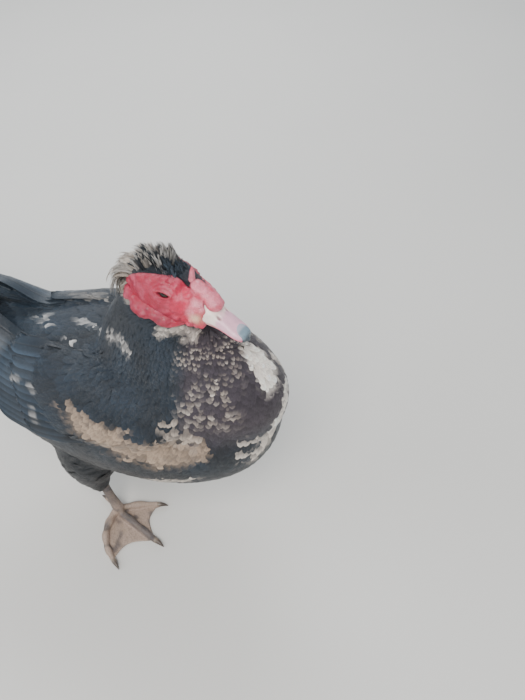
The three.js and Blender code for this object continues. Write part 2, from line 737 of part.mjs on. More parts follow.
// Materials, one for each finish
const finish = (name, color, roughness) =>
  new THREE.MeshStandardMaterial({ name, color, roughness, metalness: 0 });
const black = finish("black_plumage", 0x23272d, 0.55);
const pied = finish("pied_plumage", 0x8f857c, 0.7);
const crestMix = finish("crest_plumage", 0x6f6a63, 0.7);
const faceSkin = finish("face_skin", 0xd8435a, 0.5);
const billHorn = finish("bill_horn", 0xe3a5b4, 0.35);
const nailHorn = finish("nail_horn", 0x5d6f78, 0.35);
const knobSkin = finish("knob_skin", 0xdf6f86, 0.5);
const eyeGlass = finish("eye", 0x2a1c12, 0.08);
const legScale = finish("leg_scale", 0xa98f73, 0.6);
const clawHorn = finish("claw_horn", 0x4a4038, 0.45);

const duck = new THREE.Group();
duck.position.set(...MIDDLE);
function add(name, made, material) {
  const mesh = new THREE.Mesh(geometryOf(made), material);
  mesh.name = name;
  duck.add(mesh);
}

// Planes where two nodes meet, each with half the gap on either side
const half = GAP / 2;
const shifted = (cut, by) => cut.at.clone().addScaledVector(cut.facing.clone().normalize(), by);
const ahead = (cut) => beyond(shifted(cut, half), cut.facing);
const behind = (cut) => beyond(shifted(cut, -half), cut.facing.clone().negate());
const headWay = inHead(1, 0, 0).sub(inHead(0, 0, 0));
const NECK_CUT = { at: vec(112, 0, 262), facing: vec(0.4, 0, 0.92) };
const HEAD_CUT = { at: vec(104, 1, 376), facing: vec(0.14, 0, 0.99) };
const TAIL_CUT = { at: vec(-212, 0, 238), facing: vec(-0.98, 0, 0.18) };
const BILL_CUT = { at: inHead(43, 0, 0), facing: headWay };

// Torso, neck and head from one run of flesh
const skull = skullSolid(0);
const run = torsoSolid(0).add(neckSolid(0));
const rump = run.intersect(ahead(TAIL_CUT));
const aboveNeckCut = run.intersect(ahead(NECK_CUT));
const cheeks = facePrism(1, BED).add(facePrism(-1, BED));
const neck = aboveNeckCut.intersect(behind(HEAD_CUT)).subtract(skullSolid(GAP)).subtract(cheeks);
const torso = run.intersect(behind(NECK_CUT)).intersect(behind(TAIL_CUT));
add("torso", torso, black);
add("neck", neck, pied);

// Head pieces: each later piece keeps the gap from the ones before it
const eyes = eyeSolid(1, GAP).add(eyeSolid(-1, GAP));
const faceBeds = facePocket(1).add(facePocket(-1));
const knob = knobSolid(0).subtract(skullSolid(GAP));
const knobGrown = knobSolid(GAP);
const crestGrown = crestBed(GAP);
const head = skull.add(aboveNeckCut.intersect(ahead(HEAD_CUT))).intersect(behind(BILL_CUT));
add("head", head.subtract(faceBeds).subtract(eyes), black);
const crest = crestSolid().subtract(skullSolid(GAP)).subtract(neckSolid(BED)).subtract(knobGrown);
add("crest", crest, crestMix);
for (const [name, side] of [["left", 1], ["right", -1]]) {
  const face = faceSolid(side).intersect(behind(BILL_CUT)).subtract(eyes).subtract(knobGrown);
  add("face_" + name, face.subtract(crestGrown), faceSkin);
  add("eye_" + name, eyeSolid(side, 0), eyeGlass);
}
add("knob", knob.subtract(crestGrown), knobSkin);

// Bill in two halves with a nail let into the upper one
const bill = billSolid().intersect(ahead(BILL_CUT)).subtract(knobSolid(GAP));
const upperBill = bill.subtract(belowMouth(half));
const nailZone = (grow) =>
  block(vec(NAIL_X - grow, -6.5 - grow, -60), vec(110, 6.5 + grow, 20)).transform(headFrame.elements);
const nostrils = nostril(1).add(nostril(-1));
add("bill_upper", upperBill.subtract(nailZone(GAP)).subtract(nostrils), billHorn);
add("bill_nail", upperBill.intersect(nailZone(0)), nailHorn);
add("bill_lower", bill.intersect(belowMouth(-half)), billHorn);

// Tail and wings lie over the torso and keep clear of it
const tail = rump.add(tailSolid().intersect(ahead(TAIL_CUT)));
add("tail", tail, black);
const wingBed = torsoSolid(BED).add(neckSolid(BED));
for (const [name, side] of [["left", 1], ["right", -1]]) {
  add("wing_" + name, wingSolid(side).subtract(wingBed), black);
}

// Legs and feet, mirrored for the two sides
const FLOOR = block(vec(-300, -300, -60), vec(300, 300, 0));
for (const [name, side] of [["left", 1], ["right", -1]]) {
  const hock = { at: vec(-11, side * 63, 58), facing: vec(0, 0, -1) };
  const ankle = { at: vec(7, side * 66, 15), facing: vec(0.3, 0, -0.95) };
  const shank = limb(mirrored(SHANK, side), 12, 10);
  const thigh = limb(mirrored(THIGH, side), 14, 11);
  add("thigh_" + name, thigh.subtract(torsoSolid(GAP)).intersect(behind(hock)), black);
  add("leg_" + name, shank.intersect(ahead(hock)).intersect(behind(ankle)), legScale);
  let foot = webSolid(side, TOES.outer, TOES.middle).add(webSolid(side, TOES.middle, TOES.inner));
  for (const toe of Object.values(TOES)) {
    foot = foot.add(toeSolid(side, toe).intersect(behind(tipPlane(side, toe))));
  }
  const hind = limb(mirrored(HIND_ROWS, side), 8, 6).intersect(behind(tipPlane(side, HIND_TOE)));
  foot = foot.add(hind).add(shank.intersect(ahead(ankle)));
  const clearance = limb(mirrored(SHANK, side), 12, 10, BED).subtract(ahead(ankle));
  add("foot_" + name, foot.subtract(clearance).subtract(FLOOR), legScale);
  for (const [which, toe] of Object.entries({ ...TOES, hind: HIND_TOE })) {
    const claw = clawSolid(side, toe).intersect(ahead(tipPlane(side, toe)));
    add("claw_" + which + "_" + name, claw.subtract(FLOOR), clawHorn);
  }
}

const root = new THREE.Group();
root.add(duck);
export default root;
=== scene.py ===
"""Looks of a life-size muscovy drake: skin, feathers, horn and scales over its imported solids.

Sizes in the tables are in millimetres in the bird's own frame: x towards the bill, y to the
bird's left and z up from the floor. Meshes are written in metres in the row frame.
"""

from __future__ import annotations

import logging
import math
from collections.abc import Callable, Sequence
from dataclasses import dataclass, field
from enum import Enum
from itertools import product

import bmesh
import bpy
import numpy as np
from mathutils import Euler, Matrix, Vector, noise
from mathutils.bvhtree import BVHTree

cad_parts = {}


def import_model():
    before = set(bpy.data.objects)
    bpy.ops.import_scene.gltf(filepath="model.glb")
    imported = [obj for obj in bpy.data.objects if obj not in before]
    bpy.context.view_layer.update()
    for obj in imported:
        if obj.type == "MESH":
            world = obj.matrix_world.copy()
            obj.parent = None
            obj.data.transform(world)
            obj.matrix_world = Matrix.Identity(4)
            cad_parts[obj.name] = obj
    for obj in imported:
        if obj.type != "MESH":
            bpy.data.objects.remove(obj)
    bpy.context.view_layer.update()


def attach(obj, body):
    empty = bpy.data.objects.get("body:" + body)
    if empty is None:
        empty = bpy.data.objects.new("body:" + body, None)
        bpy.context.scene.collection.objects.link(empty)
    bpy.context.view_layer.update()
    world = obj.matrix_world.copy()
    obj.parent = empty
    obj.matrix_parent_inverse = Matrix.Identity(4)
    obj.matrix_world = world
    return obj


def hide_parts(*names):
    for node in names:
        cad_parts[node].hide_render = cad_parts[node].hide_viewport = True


LOG = logging.getLogger("drake")
Array = np.ndarray
Mesh = bpy.types.Mesh
Material = bpy.types.Material
Thing = bpy.types.Object
Form = Callable[[Array, Array], Array]
MM = 0.001
# Where the bird's own zero lies in the row frame, in millimetres
MIDDLE = np.array([98.7, 0.0, 0.0])
SKIN_TRIANGLES = 196_000
SHARP_DEGREES = 55
# How far the shoulders of a ring stand out past an oval
SQUARE = 0.035
# Places worked out at a time, to save memory
BATCH = 4000
# The lowest level that skin and claws reach over the floor
FLOOR_GAP = 0.05


# Small sums shared by every piece


def lerp(a: Array | float, b: Array | float, t: Array | float) -> Array | float:
    """Returns the value a share t of the way from a to b."""
    return a + (b - a) * t


def smooth(t: Array | float) -> Array:
    """Returns an eased step that is 0 below t = 0 and 1 above t = 1."""
    t = np.clip(t, 0.0, 1.0)
    return t * t * (3 - 2 * t)


def unit(v: Array) -> Array:
    """Returns the rows of v at length 1."""
    return v / np.maximum(np.linalg.norm(v, axis=-1, keepdims=True), 1e-9)


def to_row(points: Array) -> Array:
    """Returns millimetres in the bird's frame as metres in the row frame."""
    return (np.asarray(points, float) + MIDDLE) * MM


def to_bird(points: Array) -> Array:
    """Returns metres in the row frame as millimetres in the bird's frame."""
    return np.asarray(points, float) * 1000 - MIDDLE


def linear(hex_colour: str) -> Array:
    """Turns an sRGB colour such as "c8475f" into linear red, green and blue."""
    c = np.array([int(hex_colour[i : i + 2], 16) / 255 for i in (0, 2, 4)])
    return np.where(c <= 0.04045, c / 12.92, ((c + 0.055) / 1.055) ** 2.4)


class Track:
    """Rows of sizes, each led by its place, read smoothly at any place between them."""

    def __init__(self, rows: Sequence[Sequence[float]]) -> None:
        """Keeps the rows and the slope at each.

        Args:
            rows: place first, then the sizes there.
        """
        table = np.array(rows, float)
        self.keys, self.values = table[:, 0], table[:, 1:]
        low = np.maximum(np.arange(len(table)) - 1, 0)
        high = np.minimum(np.arange(len(table)) + 1, len(table) - 1)
        run = (self.keys[high] - self.keys[low])[:, None]
        self.slopes = (self.values[high] - self.values[low]) / run

    def __call__(self, at: Array | float) -> Array:
        """Returns the sizes at each place, one row for each.

        Args:
            at: places along the track.

        Returns:
            One row of sizes for each place.
        """
        x = np.clip(np.atleast_1d(np.asarray(at, float)), self.keys[0], self.keys[-1])
        i = np.clip(np.searchsorted(self.keys, x) - 1, 0, len(self.keys) - 2)
        h = (self.keys[i + 1] - self.keys[i])[:, None]
        t = (x[:, None] - self.keys[i][:, None]) / h
        a, b = self.values[i], self.values[i + 1]
        m, n = self.slopes[i] * h, self.slopes[i + 1] * h
        t2, t3 = t * t, t * t * t
        start = (2 * t3 - 3 * t2 + 1) * a + (t3 - 2 * t2 + t) * m
        return start + (3 * t2 - 2 * t3) * b + (t3 - t2) * n


# Forms of the bird, the same as its solids have


def oval(x: Array, row: Array, angle: Array, grow: float = 0.0) -> Array:
    """Returns points on rings across x; angle 0 is on the bird's left and a quarter turn on top.

    Args:
        x: place of each ring.
        row: middle height, half width, half height above and below, one row for each ring.
        angle: the way round.
        grow: how far the ring is pushed out.
    """
    square = 1 + SQUARE * np.sin(2 * angle) ** 2
    c, s = np.cos(angle) * square, np.sin(angle) * square
    high = np.where(s > 0, row[:, 2], row[:, 3]) + grow
    return np.stack([x, (row[:, 1] + grow) * c, row[:, 0] + high * s], 1)


# Where the hind body starts to swing to the right, over what length, and how sharply
SWING_FROM, SWING_OVER, SWING = -20, 180, 0.00055


def swung(points: Array) -> Array:
    """Swings the hind body and tail a little to the bird's right.

    Args:
        points: places in the bird's frame.

    Returns:
        The moved places.
    """
    back = np.maximum(0, SWING_FROM - points[:, 0])
    curved = np.minimum(back, SWING_OVER)
    points = points.copy()
    points[:, 1] -= SWING * curved * (2 * back - curved)
    return points


# Place along the body, then middle height, half width, and half height above and below
TORSO = Track([
    [-252, 254, 0.1, 0.1, 0.1], [-240, 252, 22, 10, 18], [-200, 240, 45, 30, 38], [-150, 224, 66, 48, 62],
    [-90, 206, 86, 68, 84], [-20, 196, 98, 98, 98], [50, 194, 100, 108, 97], [110, 196, 94, 98, 93],
    [160, 200, 78, 80, 80], [195, 204, 55, 57, 62], [216, 208, 28, 30, 33], [224, 209, 0.1, 0.1, 0.1],
])
# Share of the way up, then nape x and z, throat x and z, half width and shift to the side
NECK = Track([
    [0, 10, 262, 176, 150, 58, 0], [0.1, 12, 286, 208, 182, 76, 0], [0.22, 18, 308, 227, 222, 74, -1],
    [0.36, 27, 327, 233, 262, 63, -3], [0.5, 37, 344, 219, 300, 48, -6.5], [0.64, 46, 358, 190, 330, 38, -9],
    [0.76, 54, 370, 164, 352, 33, -11], [0.87, 64, 382, 147, 368, 29, -12.5], [1, 78, 394, 136, 384, 22, -13],
])
# Skull and bill are in the head's frame, with columns as for the torso
SKULL = Track([
    [-46, -3, 0.1, 0.1, 0.1], [-43, -3, 11, 11, 11], [-34, -2, 19, 19, 20], [-18, -1, 25, 24, 26],
    [0, -1, 26.5, 24, 29], [18, -4, 24, 22, 27], [34, -7, 19, 19, 22], [46, -10, 15.5, 15.5, 17],
    [52, -11, 0.1, 0.1, 0.1],
])
BILL = Track([
    [40, -11, 0.1, 0.1, 0.1], [40.5, -11, 15, 15, 13], [50, -12, 14, 13.5, 12], [60, -14.5, 12.2, 10, 9.5],
    [70, -17.2, 11.6, 8.2, 7.8], [80, -20, 11.6, 6.6, 6.2], [87, -22, 10, 5.4, 5.2], [91, -23, 6, 4, 4],
    [92.5, -24, 0.1, 0.1, 0.1],
])
# The surface that the folded wings lie on, with columns as for the torso
WRAP = Track([
    [-330, 298, 28, 14, 12], [-290, 289, 37, 19, 18], [-240, 274, 48, 30, 24], [-190, 252, 60, 46, 42],
    [-140, 228, 72, 58, 62], [-90, 208, 88, 74, 84], [-20, 197, 100, 101, 98], [50, 195, 102, 111, 98],
    [110, 197, 96, 101, 94], [156, 199, 84, 86, 86],
])
# Place along the body, then lowest and highest angle in degrees, and thickness
WING = Track([
    [-236, 44, 60, 0.8], [-226, 30, 74, 3], [-180, 14, 80, 6], [-110, 4, 74, 9], [-40, 6, 68, 12],
    [40, 10, 64, 13], [100, 16, 60, 12], [134, 26, 54, 10], [152, 36, 44, 2],
])
# Place along the body, then middle height, half width and half thickness
TAIL = Track([
    [-256, 264, 0.1, 0.1], [-254, 264, 40, 12], [-240, 261, 44, 15], [-222, 255, 42, 18],
    [-190, 246, 20, 12], [-186, 245, 0.1, 0.1],
])


def cosine(s: Array) -> Array:
    """Returns places that run from 0 to 1, closer together at both ends."""
    return 0.5 - 0.5 * np.cos(np.pi * s)


def at_pole(s: Array) -> Array:
    """Returns which points are a form's two end points."""
    return (s < 1e-4) | (s > 1 - 1e-4)


def capped(p: Array, s: Array, middle: Array) -> Array:
    """Returns a form's points with its two ends drawn in to the middle height."""
    p[at_pole(s), 1:] = np.stack([0 * middle, middle], 1)[at_pole(s)]
    return p


def torso_form(s: Array, angle: Array) -> Array:
    """Returns points on the torso for places along and round it.

    Args:
        s: places from pole to pole, from 0 to 1.
        angle: the way round at each place.

    Returns:
        Points in the bird's frame.
    """
    x = lerp(224, -252, cosine(s))
    row = TORSO(x)
    p = oval(x, row, angle)
    p[:, 1] *= 1 - 0.34 * smooth((10 - x) / 150) * np.maximum(0, np.sin(angle)) ** 2
    return swung(capped(p, s, row[:, 0]))


def neck_form(s: Array, angle: Array) -> Array:
    """Returns points on the neck, whose rings run from the nape to the throat.

    Args:
        s: places from pole to pole, from 0 to 1.
        angle: the way round at each place.

    Returns:
        Points in the bird's frame.
    """
    nape_x, nape_z, throat_x, throat_z, wide, y = NECK(cosine(s)).T
    middle = np.stack([(nape_x + throat_x) / 2, y, (nape_z + throat_z) / 2], 1)
    front = np.stack([throat_x - nape_x, 0 * y, throat_z - nape_z], 1)
    deep = np.linalg.norm(front, axis=1) / 2
    ring = np.minimum(1, np.sqrt(np.sin(np.pi * np.clip(s, 0, 1)) * 2.2))
    middle += unit(front) * (-deep * ring * np.sin(angle))[:, None]
    middle[:, 1] += wide * ring * np.cos(angle)
    return middle


HEAD_AT = np.array([119.0, -12.0, 398.0])
HEAD_TURN = np.array(Euler((math.radians(-6), math.radians(4.1), math.radians(-9.6)), "XYZ").to_matrix())


def from_head(points: Array) -> Array:
    """Returns points of the head's frame, between the eyes, in the bird's frame."""
    return np.asarray(points, float) @ HEAD_TURN.T + HEAD_AT


def in_head(points: Array) -> Array:
    """Returns points of the bird's frame in the head's frame."""
    return (np.asarray(points, float) - HEAD_AT) @ HEAD_TURN


def skull_form(s: Array, angle: Array) -> Array:
    """Returns points on the skull for places along and round it.

    Args:
        s: places from pole to pole, from 0 to 1.
        angle: the way round at each place.

    Returns:
        Points in the bird's frame.
    """
    x = lerp(52, -46, cosine(s))
    row = SKULL(x)
    return from_head(capped(oval(x, row, angle), s, row[:, 0]))


# Lowest and highest angle of the folded wings, and the height and angle of their hump at the rump
WRAP_LOW, WRAP_HIGH, HUMP, HUMP_AT = math.radians(-4), math.radians(84), 28, math.radians(64)


def on_wrap(
    side: int, x: Array, up: Array, out: Array, raised: Array | float = 1.0
) -> tuple[Array, Array]:
    """Finds places over one flank, where the folded wing lies.

    Args:
        side: 1 for the left wing and -1 for the right.
        x: place along the body.
        up: angle above level, in radians.
        out: distance outside the wrap.
        raised: share of the folded wing's hump that lifts the place.

    Returns:
        The places and the outward directions there.
    """
    z_mid, wide, over, under = WRAP(x).T
    flat = 0.8 * smooth((-20 - x) / 130)
    k = (up - WRAP_LOW) / (WRAP_HIGH - WRAP_LOW)

    def ring(a: Array | float) -> Array:
        """Returns the wrap's width and height at an angle."""
        high = np.where(np.asarray(a) > 0, over, under)
        square = (1 + SQUARE * np.sin(2 * np.asarray(a)) ** 2).reshape(-1, 1)
        return np.stack([wide * np.cos(a), high * np.sin(a)], 1) * square

    low = ring(np.full(len(x), WRAP_LOW))
    chord = ring(np.full(len(x), WRAP_HIGH)) - low
    at = lerp(ring(up), low + chord * k[:, None], flat[:, None])
    away = unit(np.stack([np.cos(up) / wide, np.sin(up) / over], 1))
    level = unit(np.stack([chord[:, 1], -chord[:, 0]], 1))
    away = lerp(away, level, flat[:, None])
    hump = HUMP * smooth((-80 - x) / 60) * smooth((x + 340) / 120) * smooth(up / HUMP_AT) * raised
    lifted = at + away * np.asarray(out).reshape(-1, 1)
    p = swung(np.stack([x, side * lifted[:, 0], z_mid + lifted[:, 1] + hump], 1))
    return p, unit(np.stack([0 * x, side * away[:, 0], away[:, 1]], 1))


def wing_form(side: int) -> Form:
    """Returns the form of one folded wing's fleshy part.

    Args:
        side: 1 for the left and -1 for the right.

    Returns:
        The form.
    """

    def form(s: Array, angle: Array) -> Array:
        """Returns points on the wing's fleshy part."""
        x = lerp(152, -236, cosine(s))
        low, high, thick = WING(x).T
        up = np.radians(lerp(low, high, 0.5 + 0.5 * np.cos(angle)))
        lens = 0.5 + 0.5 * np.sin(angle)
        end = at_pole(s)
        up = np.where(end, np.radians((low + high) / 2), up)
        return on_wrap(side, x, up, np.where(end, 0, thick * (lens - 0.3)), np.where(end, 1, lens))[0]

    return form


def tail_form(s: Array, angle: Array) -> Array:
    """Returns points on the fleshy root of the tail.

    Args:
        s: places from pole to pole, from 0 to 1.
        angle: the way round at each place.

    Returns:
        Points in the bird's frame.
    """
    x = lerp(-186, -256, cosine(s))
    z, wide, thick = TAIL(x).T
    wide, thick = np.where(at_pole(s), 0, wide), np.where(at_pole(s), 0, thick)
    bow = 5 * np.cos(angle) ** 2 * wide / 66
    return swung(np.stack([x, wide * np.cos(angle), z - bow + thick * np.sin(angle)], 1))


def limb_form(stations: Sequence[Sequence[float]]) -> Form:
    """Returns the form of a tube along stations of x, y, z, half width and half height.

    Args:
        stations: x, y, z, half width and half height at each station.

    Returns:
        The form.
    """
    count = len(stations) - 1
    line = Track([[i / count, *row] for i, row in enumerate(stations)])

    def form(s: Array, angle: Array) -> Array:
        """Returns points on the tube."""
        t = cosine(s)
        x = line(t)
        way = unit(line(t + 0.01)[:, :3] - line(t - 0.01)[:, :3])
        across = np.cross(np.array([0, 0, 1.0]), way)
        across = np.where(np.linalg.norm(across, axis=1, keepdims=True) < 0.3, [0, 1.0, 0], across)
        across = unit(across)
        lift = unit(np.cross(way, across))
        ring = np.minimum(1, np.sqrt(np.sin(np.pi * np.clip(s, 0, 1)) * 1.6))
        ring = np.where(at_pole(s), 0, ring)[:, None]
        aside = across * x[:, 3:4] * ring * np.cos(angle)[:, None]
        return x[:, :3] + aside + lift * x[:, 4:5] * ring * np.sin(angle)[:, None]

    return form


def lump_form(x: float, y: float, z: float, rx: float, ry: float, rz: float) -> Form:
    """Returns the form of a round lump in the head's frame.

    Args:
        x: its middle.
        y: its middle.
        z: its middle.
        rx: half its length.
        ry: half its width.
        rz: half its height.

    Returns:
        The form.
    """

    def form(s: Array, angle: Array) -> Array:
        """Returns points on the lump."""
        ring = np.sin(np.pi * np.clip(s, 0, 1))
        p = [x + rx * np.cos(np.pi * s), y + ry * ring * np.cos(angle), z + rz * ring * np.sin(angle)]
        return from_head(np.stack(p, 1))

    return form


# Mesh making


def lofted(bm: bmesh.types.BMesh, form: Form, around: int, along: int) -> None:
    """Adds a closed form to a bmesh: a ball whose points are moved onto it.

    Args:
        bm: the bmesh to add to.
        form: gives points for places from pole to pole and angles round.
        around: faces round the form.
        along: faces from pole to pole.
    """
    made = bmesh.ops.create_uvsphere(bm, u_segments=around, v_segments=along, radius=1.0)
    co = np.array([v.co for v in made["verts"]])
    s = np.arccos(np.clip(co[:, 2], -1, 1)) / np.pi
    angle = np.where(np.hypot(co[:, 0], co[:, 1]) < 1e-6, 0, np.arctan2(co[:, 1], co[:, 0]))
    for v, p in zip(made["verts"], to_row(form(s, angle))):
        v.co = p


def placed(name: str, data: bpy.types.ID) -> Thing:
    """Adds an object that holds a mesh, lamp or camera to the scene, and returns it."""
    thing = bpy.data.objects.new(name, data)
    bpy.context.scene.collection.objects.link(thing)
    return thing


def object_of(bm: bmesh.types.BMesh, name: str) -> Thing:
    """Closes a bmesh into a smooth-shaded object at the origin.

    Args:
        bm: the bmesh, which is freed.
        name: the name.

    Returns:
        The object.
    """
    bmesh.ops.recalc_face_normals(bm, faces=bm.faces)
    mesh = bpy.data.meshes.new(name)
    bm.to_mesh(mesh)
    bm.free()
    mesh.shade_smooth()
    return placed(name, mesh)


def piece(name: str, form: Form, around: int, along: int) -> Thing:
    """Builds an object of one closed form."""
    bm = bmesh.new()
    lofted(bm, form, around, along)
    return object_of(bm, name)


def joined(whole: Thing, *parts: Thing) -> None:
    """Joins other objects into one, which keeps every finish."""
    with bpy.context.temp_override(active_object=whole, selected_editable_objects=[whole, *parts]):
        bpy.ops.object.join()


def applied(thing: Thing) -> None:
    """Makes an object's modified shape its mesh.

    Args:
        thing: the object.
    """
    depsgraph = bpy.context.evaluated_depsgraph_get()
    shape = thing.evaluated_get(depsgraph)
    mesh = bpy.data.meshes.new_from_object(shape, preserve_all_data_layers=True, depsgraph=depsgraph)
    thing.modifiers.clear()
    thing.data = mesh
    mesh.shade_smooth()


def thinned(thing: Thing, most: int) -> None:
    """Merges an object's flattest faces, so that its relief keeps the fine ones.

    Args:
        thing: the object to thin.
        most: how many triangles are left.
    """
    thing.data.calc_loop_triangles()
    thin = thing.modifiers.new("thin", "DECIMATE")
    thin.ratio = min(1.0, most / len(thing.data.loop_triangles))
    applied(thing)


def read(rows: Sequence, name: str, width: int, kind: type = np.float32) -> Array:
    """Reads one field of many vertices, corners or faces.

    Args:
        rows: the vertices, corners or faces of a mesh.
        name: the field.
        width: how many numbers each one holds.
        kind: the numbers' type.

    Returns:
        A row of numbers for each.
    """
    out = np.empty(len(rows) * width, kind)
    rows.foreach_get(name, out)
    return out.reshape(-1, width)


def points_of(mesh: Mesh) -> Array:
    """Returns a mesh's vertices in the bird's frame."""
    return to_bird(read(mesh.vertices, "co", 3))


def normals_of(mesh: Mesh) -> Array:
    """Returns a mesh's vertex normals."""
    return read(mesh.vertex_normals, "vector", 3).astype(float)


def move_points(mesh: Mesh, points: Array) -> None:
    """Puts a mesh's vertices at places in the bird's frame."""
    mesh.vertices.foreach_set("co", to_row(points).astype(np.float32).ravel())
    mesh.update()


def fused(thing: Thing, grain: float, rounds: int) -> None:
    """Fuses an object's overlapping closed forms into one even skin.

    Args:
        thing: the object to fuse.
        grain: size of its new faces in millimetres.
        rounds: how many times the skin is eased.
    """
    remesh = thing.modifiers.new("fuse", "REMESH")
    remesh.mode = "VOXEL"
    remesh.voxel_size = grain * MM
    ease = thing.modifiers.new("ease", "SMOOTH")
    ease.factor = 0.5
    ease.iterations = rounds
    applied(thing)


def paint(mesh: Mesh, colours: Array, name: str = "tint") -> None:
    """Writes linear colours, one for each vertex, as a mesh attribute.

    Args:
        mesh: the mesh to paint.
        colours: rows of red, green and blue, or of one number.
        name: the attribute's name.
    """
    attribute = mesh.color_attributes.new(name, "FLOAT_COLOR", "POINT")
    rows = np.ones((len(mesh.vertices), 4), np.float32)
    rows[:, :3] = colours
    attribute.data.foreach_set("color", rows.ravel())


def speckle(points: Array, size: float, seed: float = 0.0) -> Array:
    """Returns even noise from -1 to 1 at places in millimetres.

    Args:
        points: places to read it at.
        size: millimetres from one swell to the next.
        seed: moves the noise to another region.
    """
    return np.array([noise.noise(Vector(p / size) + Vector((seed, seed * 1.7, 0))) for p in points])


# Finishes

# Sockets of a mix node for colours: how much of the second lies over the first
SHARE, FIRST, SECOND = 0, 6, 7
COLOURS = {"out": 2, "data_type": "RGBA"}


class Kind(Enum):
    """Kinds of shader node."""

    SHADER = "ShaderNodeBsdfPrincipled"
    OUTPUT = "ShaderNodeOutputMaterial"
    PAINT = "ShaderNodeVertexColor"
    PLACE = "ShaderNodeTexCoord"
    MAP = "ShaderNodeUVMap"
    SPLIT = "ShaderNodeSeparateXYZ"
    NOISE = "ShaderNodeTexNoise"
    CELLS = "ShaderNodeTexVoronoi"
    MATHS = "ShaderNodeMath"
    SPREAD = "ShaderNodeMapRange"
    MIX = "ShaderNodeMix"
    RELIEF = "ShaderNodeBump"


def scale(size_mm: float) -> float:
    """Returns the scale of a pattern with features of a real size."""
    return 1 / (size_mm * MM)


def swells(place: object, size_mm: float, detail: float) -> dict:
    """Returns the inputs of noise with swells of a real size."""
    return {"Vector": place, "Scale": scale(size_mm), "Detail": detail}


class Nodes:
    """A material's nodes, added and linked one call at a time."""

    def __init__(self, name: str) -> None:
        """Starts an empty material.

        Args:
            name: the material's name.
        """
        self.material = bpy.data.materials.new(name)
        self.material.use_nodes = True
        self.tree = self.material.node_tree
        self.tree.nodes.clear()

    def add(self, kind: Kind, inputs: dict | tuple = (), out: int | str = 0, **settings: object) -> object:
        """Adds a node with its settings and links.

        Args:
            kind: the kind of node.
            inputs: values or outputs, in the order of the sockets or by their names or numbers.
            out: the output that is wanted.
            settings: the node's own settings.

        Returns:
            The output, or None for a node without outputs.
        """
        node = self.tree.nodes.new(kind.value)
        for key, value in settings.items():
            setattr(node, key, value)
        for key, value in inputs.items() if isinstance(inputs, dict) else enumerate(inputs):
            if isinstance(value, bpy.types.NodeSocket):
                self.tree.links.new(value, node.inputs[key])
            else:
                node.inputs[key].default_value = (*value, 1.0) if isinstance(value, Array) else value
        return node.outputs[out] if node.outputs else None

    def finish(self, inputs: dict) -> Material:
        """Adds the shader and the output, and returns the material."""
        shader = self.add(Kind.SHADER, inputs)
        self.add(Kind.OUTPUT, {"Surface": shader})
        return self.material


@dataclass(frozen=True)
class Plumage:
    """Feather finish: painted colour, barbs that slant off a dark shaft with painted shade along them,
    painted highlights in ruffled patches, and a soft gloss.

    Real barbs are finer than the picture's grain, so they are drawn as coarse as they show.
    """

    name: str = "plumage"
    barbs: float = 34.0
    slant: float = 22.0
    ruffle_mm: float = 3.0
    patch_mm: float = 9.0
    roughness: float = 0.42
    sheen: float = 0.08

    def material(self) -> Material:
        """Builds the finish. The map named vane runs across and along each feather."""
        n = Nodes(self.name)
        place = n.add(Kind.PLACE, out="Object")
        tint = n.add(Kind.PAINT, layer_name="tint")
        vane = n.add(Kind.MAP, uv_map="vane")
        across = n.add(Kind.SPLIT, (vane,), "X")
        along = n.add(Kind.SPLIT, (vane,), "Y")
        aside = n.add(Kind.MATHS, (across, 0.5), operation="SUBTRACT")
        off = n.add(Kind.MATHS, (aside,), operation="ABSOLUTE")
        rows = n.add(Kind.MATHS, (along, self.barbs), operation="MULTIPLY")
        lean = n.add(Kind.MATHS, (off, -self.slant), operation="MULTIPLY")
        turns = n.add(Kind.MATHS, (rows, lean), operation="ADD")
        phase = n.add(Kind.MATHS, (turns, math.tau), operation="MULTIPLY")
        barbs = n.add(Kind.MATHS, (phase,), operation="SINE")
        shaft = n.add(Kind.SPREAD, (off, 0.02, 0.06, 1.0, 0.0))
        # Painted shade: the tint darkened in stripes along the barbs
        shade = n.add(Kind.SPREAD, (barbs, -1.0, 1.0, 0.0, 0.22))
        barbs_shaded = n.add(
            Kind.MIX, {SHARE: shade, FIRST: tint, SECOND: linear("000000")}, **COLOURS, blend_type="MULTIPLY"
        )
        # Painted highlight: ruffled patches lightened by a screen blend
        ruffle = n.add(Kind.NOISE, swells(place, self.ruffle_mm, 4.0))
        lit = n.add(Kind.SPREAD, (ruffle, 0.35, 0.7, 0.0, 0.25))
        ruffle_highlight = n.add(Kind.MIX, {SHARE: lit, FIRST: barbs_shaded, SECOND: tint}, **COLOURS, blend_type="SCREEN")
        thin = n.add(Kind.MATHS, (shaft, 0.3), operation="MULTIPLY")
        shafted = n.add(Kind.MIX, {SHARE: thin, FIRST: ruffle_highlight, SECOND: linear("272422")}, **COLOURS)
        ribs = n.add(Kind.MATHS, (barbs, 0.35), operation="MULTIPLY")
        stem = n.add(Kind.MATHS, (shaft, 1.2), operation="MULTIPLY")
        high = n.add(Kind.MATHS, (ribs, stem), operation="ADD")
        relief = n.add(Kind.RELIEF, {"Height": high, "Distance": 0.12 * MM})
        patches = n.add(Kind.NOISE, swells(place, self.patch_mm, 3.0))
        rough = n.add(Kind.SPREAD, (patches, 0.3, 0.7, self.roughness - 0.06, self.roughness + 0.1))
        return n.finish({
            "Base Color": shafted, "Roughness": rough, "Normal": relief, "Sheen Weight": self.sheen,
            "Sheen Roughness": 0.4, "Specular IOR Level": 0.34,
        })


